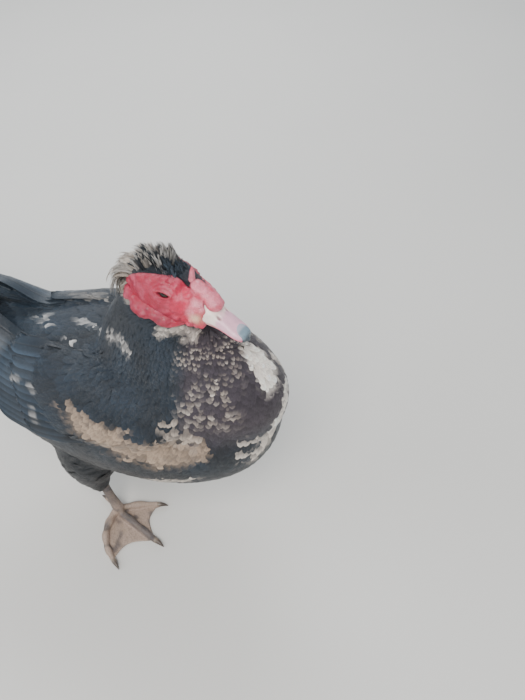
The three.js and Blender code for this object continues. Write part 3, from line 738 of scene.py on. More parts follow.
@dataclass(frozen=True)
class BareSkin:
    """Moist, lumpy skin of the face, painted red, with fine grain."""

    name: str = "bare_skin"
    grain_mm: float = 0.9
    crease_mm: float = 3.2
    patch_mm: float = 4.0
    roughness: float = 0.42

    def material(self) -> Material:
        """Builds the finish."""
        n = Nodes(self.name)
        place = n.add(Kind.PLACE, out="Object")
        tint = n.add(Kind.PAINT, layer_name="tint")
        cells = n.add(Kind.CELLS, {"Vector": place, "Scale": scale(self.grain_mm)})
        seams = n.add(Kind.SPREAD, (cells, 0.15, 0.6, 0.0, 0.35))
        deep = n.add(Kind.MIX, {SHARE: seams, FIRST: tint, SECOND: linear("7d1f30")}, **COLOURS)
        pores = n.add(Kind.RELIEF, {"Height": cells, "Distance": 0.16 * MM})
        folds = n.add(Kind.NOISE, swells(place, self.crease_mm, 5.0))
        creases = n.add(Kind.RELIEF, {"Height": folds, "Distance": 0.35 * MM, "Normal": pores})
        patches = n.add(Kind.NOISE, swells(place, self.patch_mm, 3.0))
        rough = n.add(Kind.SPREAD, (patches, 0.3, 0.7, self.roughness - 0.1, self.roughness + 0.14))
        return n.finish({
            "Base Color": deep, "Roughness": rough, "Normal": creases, "Subsurface Weight": 0.15,
            "Subsurface Radius": (0.004, 0.0012, 0.0008), "Subsurface Scale": 0.4,
        })


@dataclass(frozen=True)
class UnderSkin:
    """Dull skin that lies under the coat and carries its markings, darkened as painted shade under the
    feathers.
    """

    name: str = "under_skin"
    mottle_mm: float = 2.4
    grain_mm: float = 1.2

    def material(self) -> Material:
        """Builds the finish."""
        n = Nodes(self.name)
        place = n.add(Kind.PLACE, out="Object")
        tint = n.add(Kind.PAINT, layer_name="tint")
        # Painted shade: the markings darkened where the skin shows between feathers
        dark = n.add(
            Kind.MIX, {SHARE: 0.45, FIRST: tint, SECOND: linear("000000")}, **COLOURS, blend_type="MULTIPLY"
        )
        mottle = n.add(Kind.NOISE, swells(place, self.mottle_mm, 3.0))
        dull = n.add(Kind.SPREAD, (mottle, 0.3, 0.7, 0.0, 0.3))
        mottled = n.add(Kind.MIX, {SHARE: dull, FIRST: dark, SECOND: linear("19191d")}, **COLOURS)
        grain = n.add(Kind.NOISE, swells(place, self.grain_mm, 4.0))
        relief = n.add(Kind.RELIEF, {"Height": grain, "Distance": 0.3 * MM})
        return n.finish({"Base Color": mottled, "Roughness": 0.85, "Normal": relief})


@dataclass(frozen=True)
class Horn:
    """Smooth horn of bill, nail and claws, with faint growth lines and scuffs."""

    name: str
    roughness: float = 0.3
    line_mm: float = 1.4
    blotch_mm: float = 7.0
    patch_mm: float = 5.0

    def material(self) -> Material:
        """Builds the finish."""
        n = Nodes(self.name)
        place = n.add(Kind.PLACE, out="Object")
        tint = n.add(Kind.PAINT, layer_name="tint")
        lines = n.add(Kind.NOISE, swells(place, self.line_mm, 5.0))
        scuffs = n.add(Kind.SPREAD, (lines, 0.4, 0.75, 0.0, 0.3))
        worn = n.add(
            Kind.MIX, {SHARE: scuffs, FIRST: tint, SECOND: linear("e9d9cf")}, **COLOURS,
            blend_type="SOFT_LIGHT",
        )
        clouds = n.add(Kind.NOISE, swells(place, self.blotch_mm, 4.0))
        warm = n.add(Kind.SPREAD, (clouds, 0.45, 0.7, 0.0, 0.18))
        blotched = n.add(
            Kind.MIX, {SHARE: warm, FIRST: worn, SECOND: linear("8c5f6c")}, **COLOURS, blend_type="MULTIPLY"
        )
        patches = n.add(Kind.NOISE, swells(place, self.patch_mm, 3.0))
        rough = n.add(Kind.SPREAD, (patches, 0.3, 0.7, self.roughness - 0.06, self.roughness + 0.16))
        relief = n.add(Kind.RELIEF, {"Height": lines, "Distance": 0.08 * MM})
        return n.finish({
            "Base Color": blotched, "Roughness": rough, "Normal": relief, "Coat Weight": 0.2,
            "Coat Roughness": 0.2,
        })


@dataclass(frozen=True)
class ScaledSkin:
    """Scaly skin of the legs, toes and webs, dusty from the ground."""

    name: str = "leg_scales"
    scale_mm: float = 1.3
    dust_mm: float = 11.0
    grain_mm: float = 0.7
    patch_mm: float = 3.0

    def material(self) -> Material:
        """Builds the finish."""
        n = Nodes(self.name)
        place = n.add(Kind.PLACE, out="Object")
        tint = n.add(Kind.PAINT, layer_name="tint")
        cells = n.add(Kind.CELLS, {"Vector": place, "Scale": scale(self.scale_mm)})
        edges = n.add(Kind.SPREAD, (cells, 0.35, 0.75, 0.0, 0.3))
        seams = n.add(
            Kind.MIX, {SHARE: edges, FIRST: tint, SECOND: linear("4b4038")}, **COLOURS, blend_type="MULTIPLY"
        )
        clouds = n.add(Kind.NOISE, swells(place, self.dust_mm, 5.0))
        dust = n.add(Kind.SPREAD, (clouds, 0.5, 0.75, 0.0, 0.3))
        dusty = n.add(Kind.MIX, {SHARE: dust, FIRST: seams, SECOND: linear("9a866c")}, **COLOURS)
        grain = n.add(Kind.NOISE, swells(place, self.grain_mm, 3.0))
        fine = n.add(Kind.RELIEF, {"Height": grain, "Distance": 0.08 * MM})
        high = n.add(Kind.MATHS, (cells, -1.0), operation="MULTIPLY")
        relief = n.add(Kind.RELIEF, {"Height": high, "Distance": 0.35 * MM, "Normal": fine})
        patches = n.add(Kind.NOISE, swells(place, self.patch_mm, 3.0))
        rough = n.add(Kind.SPREAD, (patches, 0.3, 0.7, 0.5, 0.72))
        return n.finish({"Base Color": dusty, "Roughness": rough, "Normal": relief})


@dataclass(frozen=True)
class WetEye:
    """The ball of an eye: painted pupil and iris under a clear wet coat."""

    name: str = "wet_eye"
    fibre_mm: float = 0.5

    def material(self) -> Material:
        """Builds the finish."""
        n = Nodes(self.name)
        place = n.add(Kind.PLACE, out="Object")
        tint = n.add(Kind.PAINT, layer_name="tint")
        grain = n.add(Kind.NOISE, swells(place, self.fibre_mm, 4.0))
        dark = n.add(Kind.SPREAD, (grain, 0.3, 0.7, 0.0, 0.4))
        fibres = n.add(Kind.MIX, {SHARE: dark, FIRST: tint, SECOND: linear("0d0703")}, **COLOURS)
        return n.finish({
            "Base Color": fibres, "Roughness": 0.14, "Coat Weight": 0.35, "Coat Roughness": 0.05,
            "Specular IOR Level": 0.4,
        })


@dataclass(frozen=True)
class FloorFinish:
    """Plain pale floor."""

    name: str = "pale_floor"
    cloud_mm: float = 400.0

    def material(self) -> Material:
        """Builds the finish."""
        n = Nodes(self.name)
        place = n.add(Kind.PLACE, out="Object")
        clouds = n.add(Kind.NOISE, swells(place, self.cloud_mm, 3.0))
        share = n.add(Kind.SPREAD, (clouds, 0.3, 0.7, 0.0, 0.06))
        tone = n.add(Kind.MIX, {SHARE: share, FIRST: linear("cfccc6"), SECOND: linear("959595")}, **COLOURS)
        return n.finish({"Base Color": tone, "Roughness": 0.8})


# Markings


class Tone(Enum):
    """Colours of plumage and skin, in sRGB."""

    BLACK = "1b2128"
    CREST_FRONT = "3a4753"
    BLUE_BLACK = "1f2a35"
    # Painted sheen: the lighter blue of light reflected on black feathers
    PAINTED_SHEEN = "2b3844"
    PURPLE_BROWN = "3f373d"
    CREAM = "e6d9ca"
    BRIGHT = "fbf0e2"
    TIP = "b9aa9b"
    TAN = "a08a76"
    WHITE = "e9e5df"
    GREY = "b5b0aa"
    DOWN = "b9b2a8"
    RED = "c92549"
    ROSE = "dd5974"
    PINK = "e79aa6"
    DEEP_RED = "a52a3c"
    EDGE_PINK = "e8a0a8"
    SPOT = "5e1626"
    GAPE = "e9cfa8"
    # Painted shade in the eye's slit
    SLIT_SHADE = "271212"
    PUPIL = "030303"
    IRIS = "2e1c10"
    IRIS_EDGE = "0c0705"
    LILAC = "d8a6b6"
    BAND = "f0e3d4"
    # Painted shade in the nostrils' openings
    NOSTRIL_SHADE = "6d3c48"
    NAIL = "6f8490"
    NAIL_PALE = "b7b3bd"
    NAIL_DARK = "2f363c"
    LEG = "a48f80"
    LEG_DARK = "4f4a4a"
    CLAW = "4a4038"
    CLAW_PALE = "8d7f70"

    def rgb(self) -> Array:
        """Returns the colour in linear light."""
        return linear(self.value)

    def over(self, colour: Array, share: Array) -> Array:
        """Returns colours with a share of this one laid over each."""
        return lerp(colour, self.rgb(), share[:, None])


@dataclass(frozen=True)
class Patch:
    """A marking: a run of round spots of one colour, with a ragged edge.

    Spots are x, y, z and radius; share is how strongly the colour covers, ragged how far its
    edge strays, and broken how much of it shows the ground colour in streaks.
    """

    tone: Tone
    spots: tuple[tuple[float, float, float, float], ...]
    share: float = 1.0
    ragged: float = 0.35
    broken: float = 0.0

    def cover(self, points: Array, rough: Array) -> Array:
        """Returns how much of the patch lies over each place, from 0 to 1.

        Args:
            points: places in the bird's frame.
            rough: noise that frays the edge.

        Returns:
            A share for each place.
        """
        line = np.array(self.spots, float)
        most = np.full(len(points), -1e9)
        for a, b in zip(line[:-1], line[1:]) if len(line) > 1 else ((line[0], line[0] + 1e-3),):
            run = b[:3] - a[:3]
            t = np.clip(((points - a[:3]) @ run) / (run @ run), 0, 1)
            away = np.linalg.norm(points - a[:3] - t[:, None] * run, axis=1)
            radius = lerp(a[3], b[3], t)
            most = np.maximum(most, (radius * (1 + self.ragged * rough) - away) / (0.25 * radius))
        return self.share * smooth(most + 0.5) * (1 - self.broken * smooth(0.45 - 1.3 * rough))


@dataclass(frozen=True)
class Markings:
    """The pied coat's colours at any place on the bird."""

    patches: tuple[Patch, ...] = (
        Patch(Tone.CREAM, ((117, -43, 360, 6), (132, -39, 361, 8), (149, -31, 358, 8)), 0.65, 0.8, 0.7),
        Patch(Tone.BRIGHT, (
            (196, -6, 330, 9), (205, -6, 316, 14), (214, -10, 302, 16), (217, -14, 290, 12),
        ), 1.0, 0.25),
        Patch(Tone.BRIGHT, (
            (228, 10, 268, 6), (230, -2, 255, 9), (228, -12, 236, 9), (222, -18, 214, 8),
        ), 0.95, 0.4),
        Patch(Tone.CREAM, ((222, -18, 214, 7), (214, -30, 194, 7), (204, -42, 182, 5)), 0.9, 0.6),
        Patch(Tone.CREAM, ((194, -55, 197, 2.5), (204, -44, 192, 4), (213, -30, 190, 4)), 0.85, 0.7),
        Patch(Tone.CREAM, ((196, -53, 215, 2), (206, -42, 213, 3.5), (216, -28, 214, 4)), 0.7, 0.8),
        Patch(Tone.CREAM, ((202, -47, 237, 2), (215, -34, 238, 3)), 0.55, 0.8),
        Patch(Tone.CREAM, ((214, 26, 300, 10), (222, 34, 268, 9), (222, 36, 240, 5)), 0.8, 0.7),
        Patch(Tone.TAN, (
            (2, -92, 260, 3), (16, -97, 254, 8), (33, -102, 238, 15), (53, -104, 228, 20),
        ), 1.0, 0.6, 0.3),
        Patch(Tone.TAN, (
            (53, -104, 228, 20), (74, -102, 221, 23), (92, -97, 215, 22), (112, -92, 212, 20),
        ), 1.0, 0.6, 0.3),
        Patch(Tone.TAN, (
            (112, -92, 212, 20), (132, -86, 214, 20), (150, -79, 216, 17), (160, -74, 219, 11),
        ), 1.0, 0.7, 0.4),
        Patch(Tone.TIP, ((92, -93, 252, 1.5), (112, -87, 255, 3), (130, -80, 256, 5)), 0.75, 0.8, 0.6),
        Patch(Tone.TIP, ((122, -85, 243, 5), (140, -80, 240, 8), (154, -74, 232, 7)), 0.85, 0.8, 0.5),
        Patch(Tone.TAN, (
            (20, 98, 250, 9), (60, 102, 236, 14), (104, 95, 220, 14), (146, 80, 212, 9),
        ), 0.95, 0.6),
        Patch(Tone.CREAM, (
            (80, -86, 138, 4), (102, -86, 145, 9), (125, -83, 153, 9), (148, -79, 164, 4),
        ), 0.85, 0.5, 0.3),
        Patch(Tone.DOWN, (
            (50, 66, 118, 7), (80, 62, 110, 12), (112, 52, 112, 12), (140, 40, 120, 8),
        ), 0.7, 0.8),
        Patch(Tone.GREY, (
            (36, -28, 318, 2), (52, -38, 326, 5), (66, -44, 329, 6), (76, -50, 325, 4),
        ), 0.8, 0.9, 0.9),
        Patch(Tone.WHITE, ((10, -10, 298, 1.6), (24, -20, 308, 2.2)), 0.8, 0.8, 0.8),
        Patch(Tone.WHITE, ((-27, 4, 291, 1.6), (-10, -2, 296, 2.4), (6, -8, 297, 1.8)), 0.85, 0.8, 0.8),
        Patch(Tone.WHITE, ((-86, 8, 275, 3), (-72, 0, 279, 4)), 0.7, 0.9, 0.9),
        Patch(Tone.WHITE, ((-66, -9, 281, 2.4), (-52, -11, 283, 2.4)), 0.7, 0.9, 0.9),
        Patch(Tone.WHITE, ((-16, -31, 290, 2.4),), 0.8, 0.6),
        Patch(Tone.WHITE, ((94, -58, 315, 2.2),), 0.6, 0.6),
        Patch(Tone.GREY, ((-75, -76, 256, 4), (-60, -78, 259, 5)), 0.4, 0.9, 1.0),
        Patch(Tone.GREY, ((-44, -83, 260, 4), (-37, -88, 258, 5)), 0.45, 0.9, 1.0),
        Patch(Tone.GREY, ((-38, -97, 238, 5), (-35, -102, 224, 6)), 0.5, 0.9, 1.0),
        Patch(Tone.DOWN, ((-63, 44, 282, 5), (-32, 40, 291, 6), (-12, 46, 296, 5)), 0.5, 0.9, 0.9),
        Patch(Tone.CREAM, ((66, -18, 382, 6), (76, -28, 386, 7), (84, -33, 380, 5)), 0.6, 0.7, 0.8),
    )

    def base(self, points: Array) -> Array:
        """Returns the ground colour, before the patches, with a painted sheen on top of the rear of the back
        and painted shade low on the body.

        Args:
            points: places in the bird's frame.

        Returns:
            Linear colours.
        """
        x, _, z = points.T
        rough = speckle(points, 34.0, 3.1)
        colour = Tone.BLUE_BLACK.over(Tone.BLACK.rgb(), smooth(rough + 0.5))
        # Painted sheen: lighter blue over the top of the rear back, wings and tail
        gloss = smooth((-40 - x) / 60) * smooth((z - 230) / 30)
        colour = Tone.PAINTED_SHEEN.over(colour, 0.7 * gloss)
        neck = smooth((x - 132) / 18) * smooth((z - 205) / 40)
        # Painted shade: the lower body darkened towards the bottom
        colour = colour * lerp(0.3, 1, smooth((z - 140) / 70))[:, None]
        return Tone.PURPLE_BROWN.over(colour, 0.85 * neck)

    def pied(self, points: Array) -> Array:
        """Returns how strongly feathers end in cream on the front and sides of the neck."""
        x, _, z = points.T
        side = smooth((x - 128) / 12) * smooth((z - 240) / 22) * smooth((352 - z) / 16)
        front = smooth((206 - x) / 16)
        return side * front * smooth(speckle(points, 17.0, 8.2) * 1.5 + 0.7)

    def colour(self, points: Array) -> Array:
        """Returns linear colours at places in the bird's frame.

        Args:
            points: places in the bird's frame.

        Returns:
            Linear colours.
        """
        colour = self.base(points)
        rough = speckle(points * np.array([0.24, 1.0, 1.0]), 4.6, 5.7)
        for patch in self.patches:
            colour = patch.tone.over(colour, patch.cover(points, rough))
        return colour


MARKINGS = Markings()


# The lie and size of the coat


class Lie:
    """Which way the coat lies and how far along the body a place is."""

    # From the bill over the crown, down the neck and along the body to the tail's end
    spine = np.array([
        [150, -14, 388], [119, -12, 398], [100, -10, 388], [108, -11, 362], [124, -6, 326], [126, -2, 286],
        [104, 0, 240], [56, 0, 202], [-20, 0, 196], [-90, -4, 208], [-150, -10, 226], [-210, -22, 246],
        [-252, -32, 258], [-330, -48, 285],
    ], float)
    reach = 32.0
    split = 6

    def __init__(self) -> None:
        """Measures the spine."""
        steps = np.diff(self.spine, axis=0)
        lengths = np.linalg.norm(steps, axis=1)
        parts = np.linspace(0, 1, self.split + 1)[:-1]
        self.dots = np.concatenate([a + parts[:, None] * s for a, s in zip(self.spine, steps)])
        self.ways = np.repeat(unit(steps), self.split, axis=0)
        starts = np.concatenate([[0], np.cumsum(lengths)[:-1]])
        self.marks = (starts[:, None] + lengths[:, None] * parts[None]).ravel()

    def weights(self, points: Array) -> Array:
        """Returns how much each dot of the spine counts at each place."""
        d2 = ((points[:, None, :] - self.dots[None, :, :]) ** 2).sum(2)
        w = np.exp(-(d2 - d2.min(1, keepdims=True)) / (2 * self.reach**2))
        return w / w.sum(1, keepdims=True)

    def read(self, points: Array, normals: Array) -> tuple[Array, Array]:
        """Finds the lie at places on the skin.

        Args:
            points: places in the bird's frame.
            normals: outward directions there.

        Returns:
            Directions along the skin, and distances along the body from the bill.
        """
        ways, marks = np.empty_like(points), np.empty(len(points))
        for i in range(0, len(points), BATCH):
            w = self.weights(points[i : i + BATCH])
            ways[i : i + BATCH] = w @ self.ways
            marks[i : i + BATCH] = w @ self.marks
        head = in_head(points)
        on_head = smooth((head[:, 0] + 62) / 20) * smooth((head[:, 2] + 48) / 30)
        back = HEAD_TURN @ np.array([-1.0, 0, -0.25])
        ways = lerp(ways, back, on_head[:, None])
        low = smooth((118 - points[:, 2]) / 30) * smooth((50 - points[:, 0]) / 20)
        thigh = low * smooth((np.abs(points[:, 1]) - 20) / 20)
        ways = lerp(ways, np.array([-0.25, 0, -1.0]), thigh[:, None])
        ways = ways - normals * (ways * normals).sum(1, keepdims=True)
        return unit(ways), marks


class CoatPart(Enum):
    """The parts of the coat, each a piece of its own."""

    HEAD = "coat_head"
    NECK = "coat_neck"
    BODY = "coat_body"
    BACK = "coat_back"
    THIGHS = "coat_thighs"


# Distance along the body, then length, width, spacing and depth of the feathers there
COAT_SIZES = Track([
    [0, 6, 2.4, 1.7, 1.4], [50, 8, 3.0, 1.9, 1.8], [80, 12, 4.0, 2.5, 2.4], [115, 18, 6.8, 3.2, 3],
    [155, 24, 9.0, 3.9, 3.8], [210, 29, 9.8, 4.4, 4.6], [280, 34, 9.8, 4.9, 5], [400, 36, 10.5, 5.2, 5],
    [500, 34, 10.5, 5.4, 4.6], [600, 28, 10, 5.4, 4],
])


@dataclass
class Feathers:
    """A batch of feathers as arrays: where each starts, bends and ends, and how it is shaped."""

    root: Array
    bend: Array
    tip: Array
    normal: Array
    end_normal: Array
    width: Array
    colour: Array
    tip_colour: Array
    patch: Array
    thick: Array | float = 0.3
    droop: Array | float = 0.06
    rings: tuple[float, ...] = (0.0, 0.34, 0.7, 0.9, 1.0)
    outline: tuple[float, ...] = (0.2, 0.85, 1.0, 0.76, 0.12)

    def mesh(self, name: str) -> Mesh:
        """Builds every feather as a closed blade, joined in one mesh.

        Args:
            name: the mesh's name.

        Returns:
            The mesh, with maps named vane and OFBake and its colours painted.
        """
        count, rings = len(self.root), len(self.rings)
        s = np.array(self.rings)[None, :, None]
        a, b, c = self.root[:, None], self.bend[:, None], self.tip[:, None]
        spine = (1 - s) ** 2 * a + 2 * s * (1 - s) * b + s**2 * c
        way = unit(2 * (1 - s) * (b - a) + 2 * s * (c - b))
        normal = unit(lerp(self.normal[:, None], self.end_normal[:, None], s))
        side = unit(np.cross(way, normal))
        normal = np.cross(side, way)
        fray = 1 + 0.12 * np.sin(np.arange(count)[:, None] * 2.4 + np.arange(rings)[None] * 1.9)
        half = (self.width[:, None] * np.array(self.outline)[None, :] * fray / 2)[..., None]
        thick = np.broadcast_to(np.asarray(self.thick, float).reshape(-1, 1, 1), half.shape)
        droop = np.broadcast_to(np.asarray(self.droop, float).reshape(-1, 1, 1), half.shape) * half
        taper = np.array([1.0] * (rings - 1) + [0.15])[None, :, None]
        left = spine - side * half - normal * droop
        right = spine + side * half - normal * droop
        top = spine + normal * thick * taper / 2
        low = spine - normal * thick * taper / 2
        points = np.stack([left, top, right, low], 2)
        u = np.broadcast_to(np.array([0.0, 0.5, 1.0, 0.5]), (count, rings, 4))
        v = np.broadcast_to(np.array(self.rings)[None, :, None], (count, rings, 4))
        tint = lerp(self.colour[:, None], self.tip_colour[:, None], smooth((s - 0.68) / 0.3))
        tint = np.broadcast_to(tint[:, :, None, :], (count, rings, 4, 3))
        quads = []
        for i in range(rings - 1):
            for k in range(4):
                j = (k + 1) % 4
                quads.append([i * 4 + k, (i + 1) * 4 + k, (i + 1) * 4 + j, i * 4 + j])
        quads.append([0, 1, 2, 3])
        quads.append([(rings - 1) * 4 + k for k in (3, 2, 1, 0)])
        faces = np.array(quads)[None] + (np.arange(count) * rings * 4)[:, None, None]
        patch = np.repeat(self.patch, rings * 4, axis=0)
        points, faces, tint = points.reshape(-1, 3), faces.reshape(-1, 4), tint.reshape(-1, 3)
        return mesh_of(name, points, faces, u.ravel(), v.ravel(), tint, patch)


# How large a blade's patch is on the unwrap of the skin
PATCH_SIZE = 0.003


def mesh_of(
    name: str, points: Array, quads: Array, u: Array, v: Array, tint: Array, patch: Array
) -> Mesh:
    """Writes arrays of many joined blades as one mesh.

    Args:
        name: the mesh's name.
        points: vertices in the bird's frame.
        quads: faces of four vertices.
        u: place across its own blade, for each vertex.
        v: place along its own blade, for each vertex.
        tint: linear colour of each vertex.
        patch: where each vertex's blade lies on the unwrap of the skin.

    Returns:
        The mesh.
    """
    mesh = bpy.data.meshes.new(name)
    mesh.vertices.add(len(points))
    mesh.vertices.foreach_set("co", to_row(points).astype(np.float32).ravel())
    mesh.loops.add(quads.size)
    mesh.loops.foreach_set("vertex_index", quads.ravel().astype(np.int32))
    mesh.polygons.add(len(quads))
    mesh.polygons.foreach_set("loop_start", (np.arange(len(quads)) * 4).astype(np.int32))
    mesh.update(calc_edges=True)
    mesh.validate()
    mesh.shade_smooth()
    mesh.set_sharp_from_angle(angle=math.radians(SHARP_DEGREES))
    corner = read(mesh.loops, "vertex_index", 1, np.int32)[:, 0]
    vane = mesh.uv_layers.new(name="vane")
    vane.uv.foreach_set("vector", np.stack([u, v], 1)[corner].astype(np.float32).ravel())
    bake = mesh.uv_layers.new(name="OFBake")
    spots = patch + np.stack([u - 0.5, v - 0.5], 1) * PATCH_SIZE
    bake.uv.foreach_set("vector", np.clip(spots, 0.001, 0.999)[corner].astype(np.float32).ravel())
    mesh.uv_layers.active = bake
    paint(mesh, tint)
    return mesh


def unwrap(points: Array, lie: Lie) -> Array:
    """Returns each place on an unwrap of the skin: along the body, and round its spine.

    Args:
        points: places in the bird's frame.
        lie: which way the coat lies.

    Returns:
        Two coordinates for each place, from 0 to 1.
    """
    out = np.empty((len(points), 2))
    for i in range(0, len(points), BATCH):
        w = lie.weights(points[i : i + BATCH])
        middle, way = w @ lie.dots, unit(w @ lie.ways)
        level = unit(np.cross(way, np.array([0, 0, 1.0])) + np.array([0, 1e-4, 0]))
        above = np.cross(level, way)
        off = points[i : i + BATCH] - middle
        turn = np.arctan2((off * above).sum(1), (off * level).sum(1))
        out[i : i + BATCH, 0] = 0.01 + 0.98 * (w @ lie.marks) / lie.marks[-1]
        out[i : i + BATCH, 1] = 0.5 + 0.49 * turn / np.pi
    return out


# Bare face


# The bare patch's border as x and z in the head's frame, from the brow back and round below
FACE_OUTLINE = Track([[i, x, z] for i, (x, z) in enumerate((
    (44, 8), (34, 14), (22, 18), (4, 20.5), (-15, 18), (-28, 12), (-38, 4), (-46, -6), (-47, -17), (-40, -22),
    (-33, -20), (-28, -25), (-20, -29), (-11, -29), (-4, -28), (3, -32), (13, -34), (24, -31), (35, -28),
    (46, -24), (50, -10), (44, 8),
))])
# Lobes of the face: x, z, radius and height
BULBS = np.array([
    [-41, -15, 7, 2.4], [-40, -4, 7, 2.2], [-31, -13, 7, 1.8], [-24, -22, 7, 2.4], [-14, -25, 7, 2.2],
    [-3, -24, 6, 1.8], [8, -28, 8, 2.8], [20, -27, 7, 2.6], [33, -24, 7, 2.4], [45, -19, 7, 2.2],
    [-33, 6, 6, 1.8], [-23, 12, 6, 2], [-10, 16, 6, 1.6], [4, 17, 6, 1.8], [18, 15, 6, 2.2],
    [31, 11, 7, 2.6], [-24, 2, 7, 1.2], [-16, -9, 7, 1.4], [-2, -12, 6, 1.2], [10, -14, 6, 1.6],
    [22, -6, 7, 1.6], [32, -2, 6, 1.8], [22, -17, 7, 1.8], [38, -14, 6, 2],
], float)
# Lumps over the bill: place and half sizes, the upright horn first, then the ridge in steps
HORN = (25, 0, 19.5, 2.7, 2.9, 13.5)
RIDGE = Track([
    [0, 31, 0, 10.5, 7.6, 7, 7], [1, 39, 0.5, 7.6, 8.4, 8, 7], [2, 46, 1, 4.4, 8.4, 8.6, 6.6],
    [3, 53, -0.5, 0.8, 7.6, 8.8, 6.2],
])
KNOB = (HORN, *map(tuple, RIDGE(np.linspace(0, 3, 10)).tolist()))


def pebbled(points: Array, size: float, seed: float = 0.0) -> Array:
    """Returns round pebbles from 0 in their seams to 1 on top, at places in millimetres.

    Args:
        points: places to read them at.
        size: millimetres from one pebble to the next.
        seed: moves them.
    """
    near = [noise.voronoi(Vector(p / size) + Vector((seed, 0, seed)))[0] for p in points]
    first, second = np.array(near)[:, 0], np.array(near)[:, 1]
    return smooth((second - first) / 0.5) * (1 - 0.5 * first)


def inside_face(head: Array) -> Array:
    """Returns how far inside the bare patch's outline each place is, in millimetres.

    Args:
        head: places in the head's frame.

    Returns:
        Distances, below 0 outside.
    """
    # The left face's upper edge lies lower on the brow
    over_eye = 9 * smooth((head[:, 2] - 7) / 9) * smooth((head[:, 0] + 26) / 34)
    before_eye = 12 * smooth((head[:, 2] - 3) / 9) * smooth((head[:, 0] - 12) / 14)
    brow = smooth(head[:, 1] / 6) * np.maximum(over_eye, before_eye)
    head = head + np.stack([0 * brow, 0 * brow, brow], 1)
    ring = FACE_OUTLINE(np.linspace(0, len(FACE_OUTLINE.keys) - 1, 168))
    p = head[:, [0, 2]]
    near = np.full(len(p), 1e9)
    inside = np.zeros(len(p), bool)
    for a, b in zip(ring[:-1], ring[1:]):
        run = b - a
        t = np.clip(((p - a) @ run) / (run @ run), 0, 1)
        near = np.minimum(near, np.linalg.norm(p - a - t[:, None] * run, axis=1))
        crosses = (a[1] > p[:, 1]) != (b[1] > p[:, 1])
        rise = np.where(abs(b[1] - a[1]) < 1e-9, 1e-9, b[1] - a[1])
        inside ^= crosses & (p[:, 0] < (b[0] - a[0]) * (p[:, 1] - a[1]) / rise + a[0])
    return np.where(inside, near, -near)


